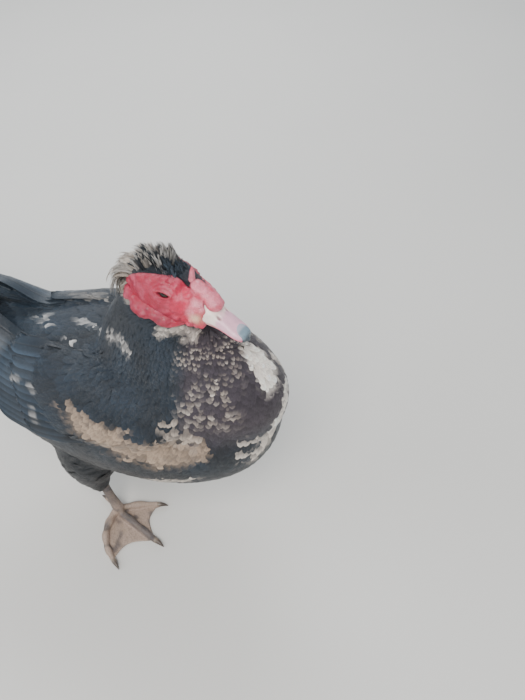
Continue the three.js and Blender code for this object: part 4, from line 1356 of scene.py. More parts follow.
@dataclass
class Head:
    """Skull, bare face, knob and lids in one fine skin, with the eyes."""

    grain: float = 0.9
    eye_x: float = 8.0
    eye_y: float = 20.0
    eye_z: float = 6.0
    eye_radius: float = 6.2
    slit_long: float = 6.0
    slit_high: float = 1.9
    neck_end: float = -62.0
    # How far the skin is sunk: under crown and nape, in the eye's slit, and on right and left brow
    crown_sunk: float = 1.6
    nape_sunk: float = 3.4
    eye_sunk: float = 4.4
    brow_sunk: tuple[float, float] = (2.0, 5.0)
    # Size of the big pebbles and where their pattern starts
    pebble: tuple[float, float] = (6.5, 1.3)

    def skin(self) -> Thing:
        """Builds the skin of skull, knob and upper neck, raises the face and sinks the eyes.

        Returns:
            The skin.
        """
        bm = bmesh.new()
        lofted(bm, neck_form, 96, 80)
        cut = Vector(to_row(from_head([0, 0, self.neck_end])))
        facing = Vector(HEAD_TURN @ np.array([0.0, 0, -1]))
        geom = bm.verts[:] + bm.edges[:] + bm.faces[:]
        made = bmesh.ops.bisect_plane(bm, geom=geom, plane_co=cut, plane_no=facing, clear_outer=True)
        rim = [e for e in made["geom_cut"] if isinstance(e, bmesh.types.BMEdge)]
        bmesh.ops.contextual_create(bm, geom=rim)
        lofted(bm, skull_form, 96, 72)
        for lump in KNOB:
            lofted(bm, lump_form(*lump), 28, 20)
        made = object_of(bm, "skin")
        fused(made, self.grain, 5)
        mesh = made.data
        p, n = points_of(mesh), normals_of(mesh)
        head = in_head(p)
        x, y, z = head.T
        depth = inside_face(head)
        side = smooth((np.abs(y) - 5) / 4)
        bare = smooth(depth / 2.0 + 0.5) * np.maximum(side, smooth((x - 36) / 8))
        knob = self.on_knob(head)
        bare = np.maximum(bare, knob)
        eye, rim = self.lids(head)
        rise = bare * self.relief(head, depth, knob, rim)
        coat = (1 - bare) * -(self.crown_sunk + self.nape_sunk * smooth((-36 - z) / 12))
        brow = smooth((x - 16) / 8) * smooth((z - 4) / 7)
        brow = brow * smooth((np.abs(y) - 3) / 4)
        sunk = brow * (1 - knob) * lerp(*self.brow_sunk, smooth(y / 6))
        move = (rise + coat) * (1 - eye) - self.eye_sunk * eye - sunk
        move_points(mesh, p + n * move[:, None])
        self.paint(mesh, head, bare, knob, depth, rim, eye)
        return made

    def relief(self, head: Array, depth: Array, knob: Array, rim: Array) -> Array:
        """Returns how far the bare skin stands out at each place.

        Args:
            head: places in the head's frame.
            depth: how far inside the patch's outline each is.
            knob: how much each belongs to the knob.
            rim: how much each lies on the lids.

        Returns:
            Millimetres for each place.
        """
        x, y, z = head.T
        lobes = np.zeros(len(head))
        for bx, bz, r, h in BULBS:
            d2 = (x - bx) ** 2 + (z - bz) ** 2
            lobes = np.maximum(lobes, h * np.exp(-d2 / (0.4 * r * r)))
        border = smooth((9 - depth) / 7)
        rough = np.clip(0.25 + 0.6 * border + 0.7 * knob + 0.5 * smooth((x - 18) / 16), 0, 1)
        big = pebbled(head, *self.pebble) * 1.1
        small = pebbled(head, 2.6, 4.7) * 0.45
        folds = speckle(head * np.array([1.0, 1.0, 0.35]), 2.6, 7.9) * 0.3
        round_eye = np.hypot((x - self.eye_x) / 1.3, z - self.eye_z)
        rings = 0.3 * np.sin(round_eye * 2.1) * np.exp(-(((round_eye - 9) / 4) ** 2))
        flesh = 1.2 + lobes * (1 - 0.7 * knob) + rough * (big + small) + (1 - rough) * folds + rings
        horn = smooth((z - 16) / 5) * smooth((6 - np.abs(x - HORN[0])) / 3)
        return flesh * (1 - 0.4 * knob) * (1 - 0.75 * horn) + 0.9 * rim

    def on_knob(self, head: Array) -> Array:
        """Returns how much each place belongs to the knob over the bill.

        Args:
            head: places in the head's frame.

        Returns:
            A share for each place.
        """
        most = np.zeros(len(head))
        for x, y, z, rx, ry, rz in KNOB:
            d = np.linalg.norm((head - (x, y, z)) / (rx, ry, rz), axis=1)
            most = np.maximum(most, smooth((1.22 - d) / 0.2))
        return most

    def lids(self, head: Array) -> tuple[Array, Array]:
        """Returns how far each place lies in the eye's slit, and on the rim round it.

        Args:
            head: places in the head's frame.

        Returns:
            A share for each place, for slit and rim.
        """
        x, y, z = (head - (self.eye_x, 0, self.eye_z)).T
        d = np.hypot(x / self.slit_long, (z + 0.06 * x) / self.slit_high)
        far = smooth((np.abs(y) - 12) / 4)
        slit = smooth((1.12 - d) / 0.24) * far
        rim = np.exp(-(((d - 1.42) / 0.26) ** 2)) * far
        return slit, rim

    def paint(
        self, mesh: Mesh, head: Array, bare: Array, knob: Array, depth: Array, rim: Array, eye: Array
    ) -> None:
        """Paints the skin, with painted shade in the pebbles' seams, the eye's slit and the lower rear face,
        and gives its faces the bare or the covered finish.

        Args:
            mesh: the mesh.
            head: places in the head's frame.
            bare: how bare each place is.
            knob: how much each belongs to the knob.
            depth: how far inside the face's border each is.
            rim: how much each lies on the lids.
            eye: how much each lies in the slit.
        """
        x, _, z = head.T
        coat = MARKINGS.colour(from_head(head))
        blotch = speckle(head, 9.0, 2.2)
        red = Tone.ROSE.over(Tone.RED.rgb(), smooth(blotch + 0.4))
        veins = smooth(speckle(head * np.array([0.5, 1, 1]), 3.0, 9.4) * 1.6 - 0.1)
        red = Tone.DEEP_RED.over(red, 0.5 * veins)
        # Painted shade in the seams between the pebbles
        seams = 1 - pebbled(head, *self.pebble)
        red = Tone.DEEP_RED.over(red, 0.35 * smooth((seams - 0.4) * 2))
        ridge = np.maximum(knob, smooth((x - 24) / 14) * smooth((z + 16) / 14))
        red = Tone.PINK.over(red, 0.6 * ridge * smooth(0.75 + blotch))
        red = Tone.EDGE_PINK.over(red, 0.3 * smooth((3.0 - depth) / 3) * (1 - knob))
        # Darker towards the rear and brighter towards the bill; painted shade darkens the lower rear face
        rear = smooth((x - 4) / 30)
        low = lerp(lerp(0.72, 0.94, smooth((z + 28) / 16)), 1, rear)
        red = red * (lerp(0.74, 1.12, rear) * low)[:, None]
        red = Tone.DEEP_RED.over(red, 0.8 * rim)
        # Painted shade in the eye's slit
        red = Tone.SLIT_SHADE.over(red, 0.95 * eye)
        for at_x, at_z, size in ((-10, -19, 1.6), (4, -26, 1.8), (26, -16, 1.2), (-22, -6, 1.1)):
            spot = np.exp(-(((x - at_x) ** 2 + (z - at_z) ** 2) / size**2))
            red = Tone.SPOT.over(red, 0.8 * spot)
        gape = np.exp(-(((x - 43) / 6) ** 2 + ((z + 10) / 5) ** 2)) * smooth(blotch + 0.9)
        red = Tone.GAPE.over(red, 0.85 * gape)
        paint(mesh, lerp(coat, red, bare[:, None]))
        mesh.materials.append(UnderSkin().material())
        mesh.materials.append(BareSkin().material())
        corner = read(mesh.loops, "vertex_index", 1, np.int32)[:, 0]
        first = corner[read(mesh.polygons, "loop_start", 1, np.int32)[:, 0]]
        mesh.polygons.foreach_set("material_index", (bare[first] > 0.5).astype(np.int32))

    def eye(self, side: int, name: str) -> Thing:
        """Builds one eyeball with its pupil and iris.

        Args:
            side: 1 for the left and -1 for the right.
            name: the eye's name.

        Returns:
            The eyeball.
        """

        def ball(s: Array, angle: Array) -> Array:
            """Returns points on the eyeball, its pole outwards."""
            ring = self.eye_radius * np.sin(np.pi * s)
            out = side * (self.eye_y + self.eye_radius * 0.9 * np.cos(np.pi * s))
            x, z = self.eye_x + ring * np.cos(angle), self.eye_z + ring * np.sin(angle)
            return from_head(np.stack([x, out, z], 1))

        made = piece(name, ball, 40, 28)
        head = in_head(points_of(made.data))
        off = np.hypot(head[:, 0] - self.eye_x, head[:, 2] - self.eye_z)
        iris = Tone.IRIS_EDGE.over(Tone.IRIS.rgb(), smooth((off - 3.4) / 1.5))
        paint(made.data, lerp(Tone.PUPIL.rgb(), iris, smooth((off - 2.3) / 0.4)[:, None]))
        made.data.materials.append(WetEye().material())
        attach(made, "root")
        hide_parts(name)
        return made


@dataclass
class Bill:
    """Upper and lower bill, parted at the mouth line, with a nail at the tip."""

    tip: float = 91.4
    root: float = 40.0
    # Each nostril's place along and across the bill
    nostril: tuple[float, float] = (62.0, 7.2)

    def ring(self, s: Array, angle: Array) -> Array:
        """Returns points on the whole bill in the head's frame.

        Args:
            s: places from pole to pole, from 0 to 1.
            angle: the way round at each place.

        Returns:
            Points in the head's frame.
        """
        x = lerp(self.tip, self.root, cosine(s))
        row = BILL(x)
        return capped(oval(x, row, angle), s, row[:, 0])

    def mouth(self, x: Array) -> Array:
        """Returns the height of the mouth line."""
        return BILL(np.minimum(x, 92))[:, 0] - lerp(3.2, 0.8, smooth((x - 36) / 68))

    def from_nostril(self, head: Array, side: int, long: float, wide: float) -> Array:
        """Returns how far places lie from one nostril, 1 on the edge of an oval."""
        x, y = self.nostril
        return np.sqrt(((head[:, 0] - x) / long) ** 2 + ((head[:, 1] - side * y) / wide) ** 2)

    def half(self, upper: bool) -> Thing:
        """Builds one half of the bill.

        Args:
            upper: whether it is the upper half.

        Returns:
            The half.
        """

        def form(s: Array, angle: Array) -> Array:
            """Returns points on the half."""
            p = self.ring(s, angle)
            line = self.mouth(p[:, 0])
            if upper:
                culmen = np.exp(-((p[:, 1] / 3.2) ** 2)) * smooth((p[:, 2] - line) / 4)
                p[:, 2] = np.maximum(p[:, 2] + 0.5 * culmen, line + 0.15)
                for side in (1, -1):
                    d = self.from_nostril(p, side, 3.4, 1.9)
                    p[:, 2] -= 1.4 * smooth((1.05 - d) / 0.4) * (p[:, 2] > line + 3)
            else:
                p[:, 1] *= 0.93
                p[:, 2] = np.minimum(p[:, 2], line - 0.25)
            return from_head(p)

        name = "bill_upper" if upper else "bill_lower"
        made = piece(name, form, 120, 90)
        self.paint(made, upper)
        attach(made, "root")
        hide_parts(name)
        return made

    def paint(self, made: Thing, upper: bool) -> None:
        """Paints the cream band, the lilac blade, its redder edge and painted shade in the nostrils.

        Args:
            made: one half of the bill.
            upper: whether it is the upper half.
        """
        head = in_head(points_of(made.data))
        x, _, z = head.T
        rough = speckle(head, 5.0, 4.4)
        colour = np.tile(Tone.LILAC.rgb(), (len(head), 1))
        band = smooth((66 + 5 * rough - x) / 8)
        colour = Tone.BAND.over(colour, 0.85 * band)
        edge = smooth((self.mouth(x) + 2.6 - z) / 2) if upper else np.full(len(head), 0.8)
        colour = Tone.ROSE.over(colour, 0.7 * edge * smooth((x - 48) / 10))
        base = smooth((46 + 3 * rough - x) / 4)
        colour = Tone.PINK.over(colour, 0.8 * base)
        # Painted shade in each nostril's opening
        if upper:
            for side in (1, -1):
                d = self.from_nostril(head, side, 3.2, 1.7)
                dark = smooth((1.0 - d) / 0.5) * (z > self.mouth(x) + 2)
                colour = Tone.NOSTRIL_SHADE.over(colour, 0.75 * dark)
        paint(made.data, colour)
        made.data.materials.append(Horn("bill_horn", 0.34).material())

    def nail(self) -> Thing:
        """Builds the nail, a small hooked shield let into the tip of the upper bill.

        Returns:
            The nail.
        """

        def form(s: Array, angle: Array) -> Array:
            """Returns points on the nail."""
            x = lerp(93.4, 80.0, cosine(s))
            inner = BILL(np.minimum(x, 92.2))
            p = capped(oval(x, inner, angle, 0.5), s, inner[:, 0])
            rear = np.clip(1 - ((86.0 - x) / 6.2) ** 2, 0.02, 1)
            half = 7.6 * np.sqrt(rear * (x < 86.0) + (x >= 86.0))
            p[:, 1] = np.clip(p[:, 1], -half, half)
            p[:, 2] += 0.75 * np.exp(-((p[:, 1] / 4.5) ** 2)) * (p[:, 2] > inner[:, 0])
            p[:, 2] -= 1.2 * smooth((x - 90) / 3)
            p[:, 2] = np.maximum(p[:, 2], self.mouth(x) - 1.6 * smooth((x - 88) / 3) + 0.3)
            return from_head(p)

        made = piece("bill_nail", form, 64, 40)
        x, _, z = in_head(points_of(made.data)).T
        low = smooth((self.mouth(x) + 3.4 - z) / 2.4)
        front = smooth((x - 90.5) / 1.8)
        colour = Tone.NAIL_DARK.over(Tone.NAIL.rgb(), 0.85 * np.maximum(low, front))
        pale = smooth((86 - x) / 3)
        paint(made.data, Tone.NAIL_PALE.over(colour, 0.6 * pale))
        made.data.materials.append(Horn("nail_horn", 0.28, 1.0).material())
        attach(made, "root")
        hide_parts("bill_nail")
        return made


@dataclass
class Body:
    """The skin of torso, neck, thighs, tail root and the wings' fleshy parts."""

    grain: float = 3.0
    thigh: tuple[tuple[float, ...], ...] = (
        (-8, 54, 168, 34, 42), (-16, 60, 120, 33, 44), (-19, 63, 90, 26, 34), (-14, 64, 66, 16, 20),
        (-8, 64, 46, 8, 9),
    )

    def form(self) -> Thing:
        """Builds the outline of the coat, one closed surface.

        Returns:
            The outline.
        """
        bm = bmesh.new()
        lofted(bm, torso_form, 96, 80)
        lofted(bm, neck_form, 96, 64)
        lofted(bm, skull_form, 72, 48)
        lofted(bm, tail_form, 64, 28)
        for side in (1, -1):
            lofted(bm, wing_form(side), 72, 72)
            lofted(bm, limb_form([(x, side * y, *rest) for x, y, *rest in self.thigh]), 48, 40)
        made = object_of(bm, "skin_body")
        fused(made, self.grain, 8)
        return made

    def dress(self, made: Thing, lie: Lie) -> None:
        """Sinks the skin under the coat's depth and paints the markings on it.

        Args:
            made: the outline of the coat.
            lie: which way the coat lies.
        """
        mesh = made.data
        p, n = points_of(mesh), normals_of(mesh)
        _, marks = lie.read(p, n)
        depth = COAT_SIZES(marks)[:, 3]
        head = in_head(p)
        deep = depth + 3.0 * smooth((head[:, 0] + 60) / 14) * smooth((head[:, 2] + 44) / 8)
        move_points(mesh, p - n * deep[:, None])
        paint(mesh, MARKINGS.colour(p))
        mesh.materials.append(UnderSkin("coat_skin").material())


def spaced(spots: Array, gaps: Array) -> list[int]:
    """Picks spots in turn, each clear of those picked before it.

    Args:
        spots: places to pick from.
        gaps: how far each keeps from the others.

    Returns:
        The numbers of the picked spots.
    """
    cell = 5.0
    grid: dict[tuple[int, int, int], list[int]] = {}
    chosen: list[int] = []
    places = spots.tolist()
    for i, (x, y, z) in enumerate(places):
        gap = gaps[i]
        reach = int(gap // cell) + 1
        home = (int(x // cell), int(y // cell), int(z // cell))
        round_it = product(*(range(c - reach, c + reach + 1) for c in home))
        near = (places[j] for other in round_it for j in grid.get(other, ()))
        if all((q[0] - x) ** 2 + (q[1] - y) ** 2 + (q[2] - z) ** 2 >= gap * gap for q in near):
            grid.setdefault(home, []).append(i)
            chosen.append(i)
    return chosen


class Coat:
    """Small feathers over the whole skin."""

    seed = 4609
    # Tries for each root that fits, and how close roots stand as a share of their spacing
    crowd = 5.0
    squeeze = 0.86

    def __init__(self, form: Thing, lie: Lie) -> None:
        """Reads the outline surface.

        Args:
            form: the outline of the coat.
            lie: which way it lies.
        """
        self.lie = lie
        mesh = form.data
        self.points, self.normals = points_of(mesh), normals_of(mesh)
        mesh.calc_loop_triangles()
        self.tris = read(mesh.loop_triangles, "vertices", 3, np.int32)
        self.tree = BVHTree.FromPolygons(self.points.tolist(), self.tris.tolist())
        self.rng = np.random.default_rng(self.seed)

    def spread(self) -> tuple[Array, Array, Array, Array]:
        """Finds roots that keep their spacing from one another.

        Returns:
            Roots, normals, lie and distance along the body.
        """
        a, b, c = (self.points[self.tris[:, i]] for i in range(3))
        area = np.linalg.norm(np.cross(b - a, c - a), axis=1) / 2
        middle = (a + b + c) / 3
        normal = unit(np.cross(b - a, c - a))
        flow, marks = self.lie.read(middle, normal)
        gap = COAT_SIZES(marks)[:, 2]
        keep = self.wanted(middle)
        weight = area * keep / gap**2
        tries = int(weight.sum() * self.crowd)
        pick = self.rng.choice(len(weight), tries, p=weight / weight.sum())
        r1, r2 = np.sqrt(self.rng.random(tries)), self.rng.random(tries)
        in_b, in_c = r1 * (1 - r2), r1 * r2
        spots = (1 - r1)[:, None] * a[pick] + in_b[:, None] * b[pick] + in_c[:, None] * c[pick]
        chosen = spaced(spots, gap[pick] * self.squeeze)
        pick = pick[chosen]
        return spots[chosen], normal[pick], flow[pick], marks[pick]

    def wanted(self, points: Array) -> Array:
        """Returns 1 where the skin carries feathers and 0 on face, bill's root and shanks.

        Args:
            points: places in the bird's frame.

        Returns:
            A weight for each place.
        """
        x, y, z = in_head(points).T
        bare = (inside_face(in_head(points)) > 0.5) & (np.abs(y) > 3)
        front = (x > 40) & (z > -40)
        shank = points[:, 2] < 50
        return 1.0 - (bare | front | shank)

    def nearest(self, points: Array) -> tuple[Array, Array]:
        """Returns the nearest places of the outline and the normals there.

        Args:
            points: places in the bird's frame.

        Returns:
            A place and a normal for each.
        """
        spots, normals = np.empty_like(points), np.empty_like(points)
        for i, p in enumerate(points):
            at, n, _, _ = self.tree.find_nearest(Vector(p))
            spots[i], normals[i] = at, n
        return spots, normals

    def parts(self, root: Array, marks: Array) -> Array:
        """Finds the part of the coat that each feather belongs to.

        Args:
            root: where the feathers start.
            marks: how far along the body that is.

        Returns:
            The part's number in the order of CoatPart.
        """
        head = in_head(root)
        tests = {
            CoatPart.HEAD: (head[:, 2] > -36) & (head[:, 0] > -56),
            CoatPart.NECK: marks < 150,
            CoatPart.THIGHS: (root[:, 2] < 118) & (np.abs(root[:, 1]) > 25) & (root[:, 0] < 45),
            CoatPart.BACK: root[:, 2] > 215,
        }
        order = list(CoatPart)
        numbers = [order.index(which) for which in tests]
        return np.select(list(tests.values()), numbers, default=order.index(CoatPart.BODY))

    def build(self) -> list[Thing]:
        """Builds the small feathers, one object for each part of the coat.

        Returns:
            The parts of the coat.
        """
        root, normal, flow, marks = self.spread()
        count = len(root)
        length, width, _, depth = COAT_SIZES(marks).T
        head = in_head(root)
        crown = smooth((head[:, 2] - 4) / 8) * (head[:, 0] > -52) * (np.abs(head[:, 1]) < 22)
        length = length * self.rng.uniform(0.86, 1.16, count) * (1 + 0.5 * crown)
        width = width * self.rng.uniform(0.88, 1.12, count)
        turn = self.rng.normal(0, 0.09, count)[:, None]
        side = np.cross(normal, flow)
        flow = unit(flow + side * turn)
        mid_at, mid_normal = self.nearest(root + flow * (length * 0.5)[:, None])
        tip_at, tip_normal = self.nearest(mid_at + unit(mid_at - root) * (length * 0.5)[:, None])
        jitter = self.rng.uniform(-0.4, 0.4, count) * np.minimum(1, depth / 4)
        neck = smooth((190 - marks) / 60)
        start = root - normal * (depth * 0.85)[:, None]
        tip = tip_at + tip_normal * (0.2 + jitter + 0.4 * neck)[:, None]
        middle = mid_at - mid_normal * (depth * 0.22 - jitter)[:, None]
        bend = 2 * middle - 0.5 * (start + tip)
        shade = self.rng.normal(0, 0.11, count)[:, None]
        ends = MARKINGS.colour(tip_at)
        # Painted shade and sheen: each feather darker over its body, where the next ones cover it, and
        # brighter at its tip
        colour = np.clip(lerp(MARKINGS.colour(mid_at), ends, 0.5) * (0.84 + shade), 0, 1)
        ends = np.clip(ends * (1.1 + shade), 0, 1)
        bars = MARKINGS.pied(tip_at) * self.rng.uniform(0.3, 1, count) * (self.rng.random(count) < 0.66)
        pale = Tone.CREAM.over(Tone.TIP.rgb(), self.rng.random(count) ** 2)
        ends = lerp(ends, pale, 0.85 * bars[:, None])
        batch = Feathers(start, bend, tip, normal, tip_normal, width, colour, ends, unwrap(root, self.lie))
        material = Plumage().material()
        parts = self.parts(root, marks)
        made = []
        for k, which in enumerate(CoatPart):
            chosen = np.flatnonzero(parts == k)
            mesh = subset(batch, chosen).mesh(which.value)
            mesh.materials.append(material)
            thing = placed(which.value, mesh)
            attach(thing, "root")
            LOG.info("%s: %d feathers", which.value, len(chosen))
            made.append(thing)
        return made


def subset(batch: Feathers, chosen: Array) -> Feathers:
    """Returns some feathers of a batch.

    Args:
        batch: the batch.
        chosen: the numbers of the feathers.

    Returns:
        The smaller batch.
    """
    picked = {
        name: getattr(batch, name)[chosen]
        for name in ("root", "bend", "tip", "normal", "end_normal", "width", "colour", "tip_colour", "patch")
    }
    return Feathers(**picked, thick=batch.thick, droop=batch.droop, rings=batch.rings, outline=batch.outline)


# Flight and tail feathers


@dataclass(frozen=True)
class Tier:
    """One tier of wing vanes, given at its lowest and highest feather.

    Ends are x, degrees above level and height over the wrap.
    """

    name: str
    count: int
    half: float
    low_root: tuple[float, float, float]
    low_tip: tuple[float, float, float]
    high_root: tuple[float, float, float]
    high_tip: tuple[float, float, float]


def vane_width(s: Array) -> Array:
    """Returns how wide a vane is along its length, from its root to its round tip."""
    end = np.maximum(0, (s - 0.74) / 0.26)
    return lerp(0.55, 1, smooth(s / 0.4)) * np.sqrt(np.maximum(0, 1 - end**2.2))


class Vanes:
    """Long feathers as closed blades of many rows, joined in one mesh."""

    rows = 22
    columns = 8

    def __init__(self, name: str) -> None:
        """Starts an empty batch.

        Args:
            name: the piece's name.
        """
        self.name = name
        self.points: list[Array] = []
        self.tints: list[Array] = []
        self.patches: list[Array] = []
        self.rng = np.random.default_rng(len(name) * 77)

    def add(
        self,
        surface: Callable[[Array, Array], tuple[Array, Array]],
        patch: Array,
        tint: Callable[[Array, Array, Array], Array],
        thick: float = 0.7,
    ) -> None:
        """Adds one vane.

        Args:
            surface: gives points and normals for places along (0 to 1) and across (-1 to 1).
            patch: the root's place on the unwrap.
            tint: gives colours for points, places along and places across.
            thick: thickness at the shaft.
        """
        s, t = np.meshgrid(np.linspace(0, 1, self.rows), np.linspace(-1, 1, self.columns + 1), indexing="ij")
        s, t = s.ravel(), t.ravel()
        p, n = surface(s, t)
        shaft = np.exp(-((t / 0.14) ** 2)) * (1 - 0.7 * s)
        half = (0.18 + 0.5 * (thick - 0.36) * shaft + 0.12 * (1 - np.abs(t)))[:, None]
        self.points.append(np.concatenate([p + n * half, p - n * half]))
        colour = tint(p, s, t)
        # Painted shade: each vane's underside is a darker copy of its top
        self.tints.append(np.concatenate([colour, colour * 0.8]))
        self.patches.append(patch)

    def build(self, slot: str) -> Thing:
        """Writes the vanes as one object and returns it.

        Args:
            slot: not used.

        Returns:
            The object.
        """
        r, c = self.rows, self.columns + 1
        size = r * c
        quads = []
        for i in range(r - 1):
            for j in range(c - 1):
                q = [i * c + j, (i + 1) * c + j, (i + 1) * c + j + 1, i * c + j + 1]
                quads.append(q)
                quads.append([size + k for k in q[::-1]])
        for i in range(r - 1):
            near, far = i * c, (i + 1) * c
            quads.append([near, near + size, far + size, far])
            near, far = near + c - 1, far + c - 1
            quads.append([far, far + size, near + size, near])
        for j in range(c - 1):
            quads.append([j + 1, j + 1 + size, j + size, j])
            k = (r - 1) * c + j
            quads.append([k, k + size, k + 1 + size, k + 1])
        count = len(self.points)
        faces = (np.array(quads)[None] + (np.arange(count) * size * 2)[:, None, None]).reshape(-1, 4)
        s, t = np.meshgrid(np.linspace(0, 1, r), np.linspace(0, 1, c), indexing="ij")
        u, v = np.tile(t.ravel(), 2 * count), np.tile(s.ravel(), 2 * count)
        patch = np.repeat(np.array(self.patches), size * 2, axis=0)
        mesh = mesh_of(self.name, np.concatenate(self.points), faces, u, v, np.concatenate(self.tints), patch)
        mesh.materials.append(Plumage(self.name, roughness=0.36).material())
        made = placed(self.name, mesh)
        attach(made, "root")
        LOG.info("%s: %d vanes", self.name, count)
        return made


@dataclass
class Wing:
    """A folded wing: tiers of coverts and flight feathers over its fleshy part."""

    side: int
    name: str
    tiers: tuple[Tier, ...] = (
        Tier("primaries", 9, 12, (-180, 14, 0.6), (-272, 18, 1.8), (-200, 42, 0.8), (-331, 48, 3.0)),
        Tier("secondaries", 14, 13, (-76, 7, 2.4), (-160, 3, 5.6), (-124, 68, 2.4), (-258, 66, 7.6)),
        Tier("greater_coverts", 13, 12, (-20, 8, 4.4), (-92, 5, 8.4), (-64, 66, 4.4), (-160, 66, 10.0)),
        Tier("median_coverts", 12, 11, (26, 12, 1.6), (-44, 9, 10.4), (-14, 62, 1.6), (-92, 62, 12.2)),
    )
    shingle: float = 3.0

    def build(self) -> Thing:
        """Builds the wing's vanes.

        Returns:
            The wing's vanes.
        """
        made = Vanes(self.name)
        for level, tier in enumerate(self.tiers):
            for i in range(tier.count):
                k = i / (tier.count - 1)
                self.vane(made, tier, k, level)
            LOG.info("%s: %d %s", self.name, tier.count, tier.name)
        thing = made.build("black_plumage")
        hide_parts("wing_left" if self.side > 0 else "wing_right")
        return thing

    def vane(self, made: Vanes, tier: Tier, k: float, level: int) -> None:
        """Adds one vane of a tier, k of the way from its lowest to its highest.

        Args:
            made: the batch.
            tier: the tier.
            k: the way from its lowest to its highest vane.
            level: the tier's number.
        """
        jitter = made.rng.normal(0, 1, 3)
        root = lerp(np.array(tier.low_root), np.array(tier.high_root), k)
        tip = lerp(np.array(tier.low_tip), np.array(tier.high_tip), k) + jitter * np.array([1.8, 0.5, 0.2])

        def surface(s: Array, t: Array) -> tuple[Array, Array]:
            """Returns points and normals on the vane."""
            x = lerp(root[0], tip[0], s)
            row = WRAP(x)
            across = t * tier.half * vane_width(s) / ((row[:, 1] + row[:, 2]) / 2)
            up = np.radians(lerp(root[1], tip[1], s)) + across
            out = lerp(root[2], tip[2], s) - self.shingle * t * 0.8 - 0.5 * t * t
            return on_wrap(self.side, x, up, out)

        def tint(p: Array, s: Array, t: Array) -> Array:
            """Returns the vane's colours."""
            colour = MARKINGS.colour(p)
            # Painted highlight along each vane's exposed edge, painted shadow where the next vane covers it,
            # and the tips darkened to mark the step between tiers
            edge_highlight_and_shadow = lerp(1.45, 0.62, smooth((t + 1) / 0.5)) * (1 - 0.35 * smooth((s - 0.93) / 0.05))
            # Painted sheen towards the vane's end
            colour = Tone.PAINTED_SHEEN.over(colour, 0.25 * smooth((s - 0.2) / 0.5))
            return colour * (1 + 0.12 * jitter[0]) * edge_highlight_and_shadow[:, None]

        patch = np.array([0.05 + 0.9 * (160 - root[0]) / 400, 0.1 + 0.2 * level + 0.16 * k])
        made.add(surface, patch, tint)


@dataclass(frozen=True)
class Fan:
    """A fan of tail vanes.

    It has a place for its roots, lengths in the middle and at the sides, degrees of spread,
    half a vane's width, a height over the tail's root and a step from one vane to the next.
    """

    name: str
    count: int
    root: float
    long: float
    short: float
    spread: float
    half: float
    lift: float
    step: float


@dataclass
class TailFan:
    """The tail: rectrices between upper and under coverts."""

    fans: tuple[Fan, ...] = (
        Fan("rectrices", 18, -226, 204, 160, 25, 16, 5, 0.78),
        Fan("upper_coverts", 11, -222, 86, 66, 20, 12, 9.5, 0.7),
        Fan("upper_short", 9, -206, 62, 46, 20, 11, 13, 0.7),
        Fan("under_coverts", 11, -222, 98, 76, 25, 14, -13, -0.7),
        Fan("under_short", 9, -206, 70, 54, 22, 13, -15, -0.7),
    )

    def build(self) -> Thing:
        """Builds the tail's vanes.

        Returns:
            The tail's vanes.
        """
        made = Vanes("tail_feathers")
        for level, fan in enumerate(self.fans):
            for i in range(fan.count):
                k = 2 * i / (fan.count - 1) - 1
                order = max(0, abs(2 * i - (fan.count - 1)) - (1 if k > 0 else 0))
                self.vane(made, fan, k, order, level)
            LOG.info("tail_feathers: %d %s", fan.count, fan.name)
        thing = made.build("black_plumage")
        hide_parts("tail")
        return thing

    def vane(self, made: Vanes, fan: Fan, k: float, order: int, level: int) -> None:
        """Adds one vane of a fan, k from -1 on one side to 1 on the other.

        Args:
            made: the batch.
            fan: the fan.
            k: from -1 on one side to 1 on the other.
            order: how many vanes lie over it.
            level: the fan's number.
        """
        jitter = made.rng.normal(0, 1, 3)
        length = lerp(fan.long, fan.short, k * k) * (1 + 0.01 * jitter[0])
        angle = math.radians(fan.spread * k + 0.5 * jitter[1])

        def surface(s: Array, t: Array) -> tuple[Array, Array]:
            """Returns points and normals on the vane."""
            d, w = length * s, t * fan.half * vane_width(s)
            x = fan.root - d * math.cos(angle) + w * math.sin(angle)
            y = d * math.sin(angle) + w * math.cos(angle) + 18 * k
            bow = 5 * (y / 66) ** 2 + 1.0 * t * t
            z = 256 + 0.27 * (-225 - x) + fan.lift - fan.step * order - bow
            p = swung(np.stack([x, y, z], 1))
            n = unit(np.stack([0 * x + 0.26, 0.15 * y / 66, 0 * x + 1], 1))
            return p, n

        def tint(p: Array, s: Array, t: Array) -> Array:
            """Returns the vane's colours."""
            # Painted sheen over three quarters of the colour, and painted highlights along both edges
            colour = lerp(MARKINGS.colour(p), Tone.PAINTED_SHEEN.rgb(), 0.75)
            return colour * (1 + 0.1 * jitter[2] + 0.12 * smooth((np.abs(t) - 0.8) / 0.15))[:, None]

        made.add(surface, np.array([0.1 + 0.8 * level / 5 + 0.02, 0.5 + 0.45 * k]), tint, 1.0)


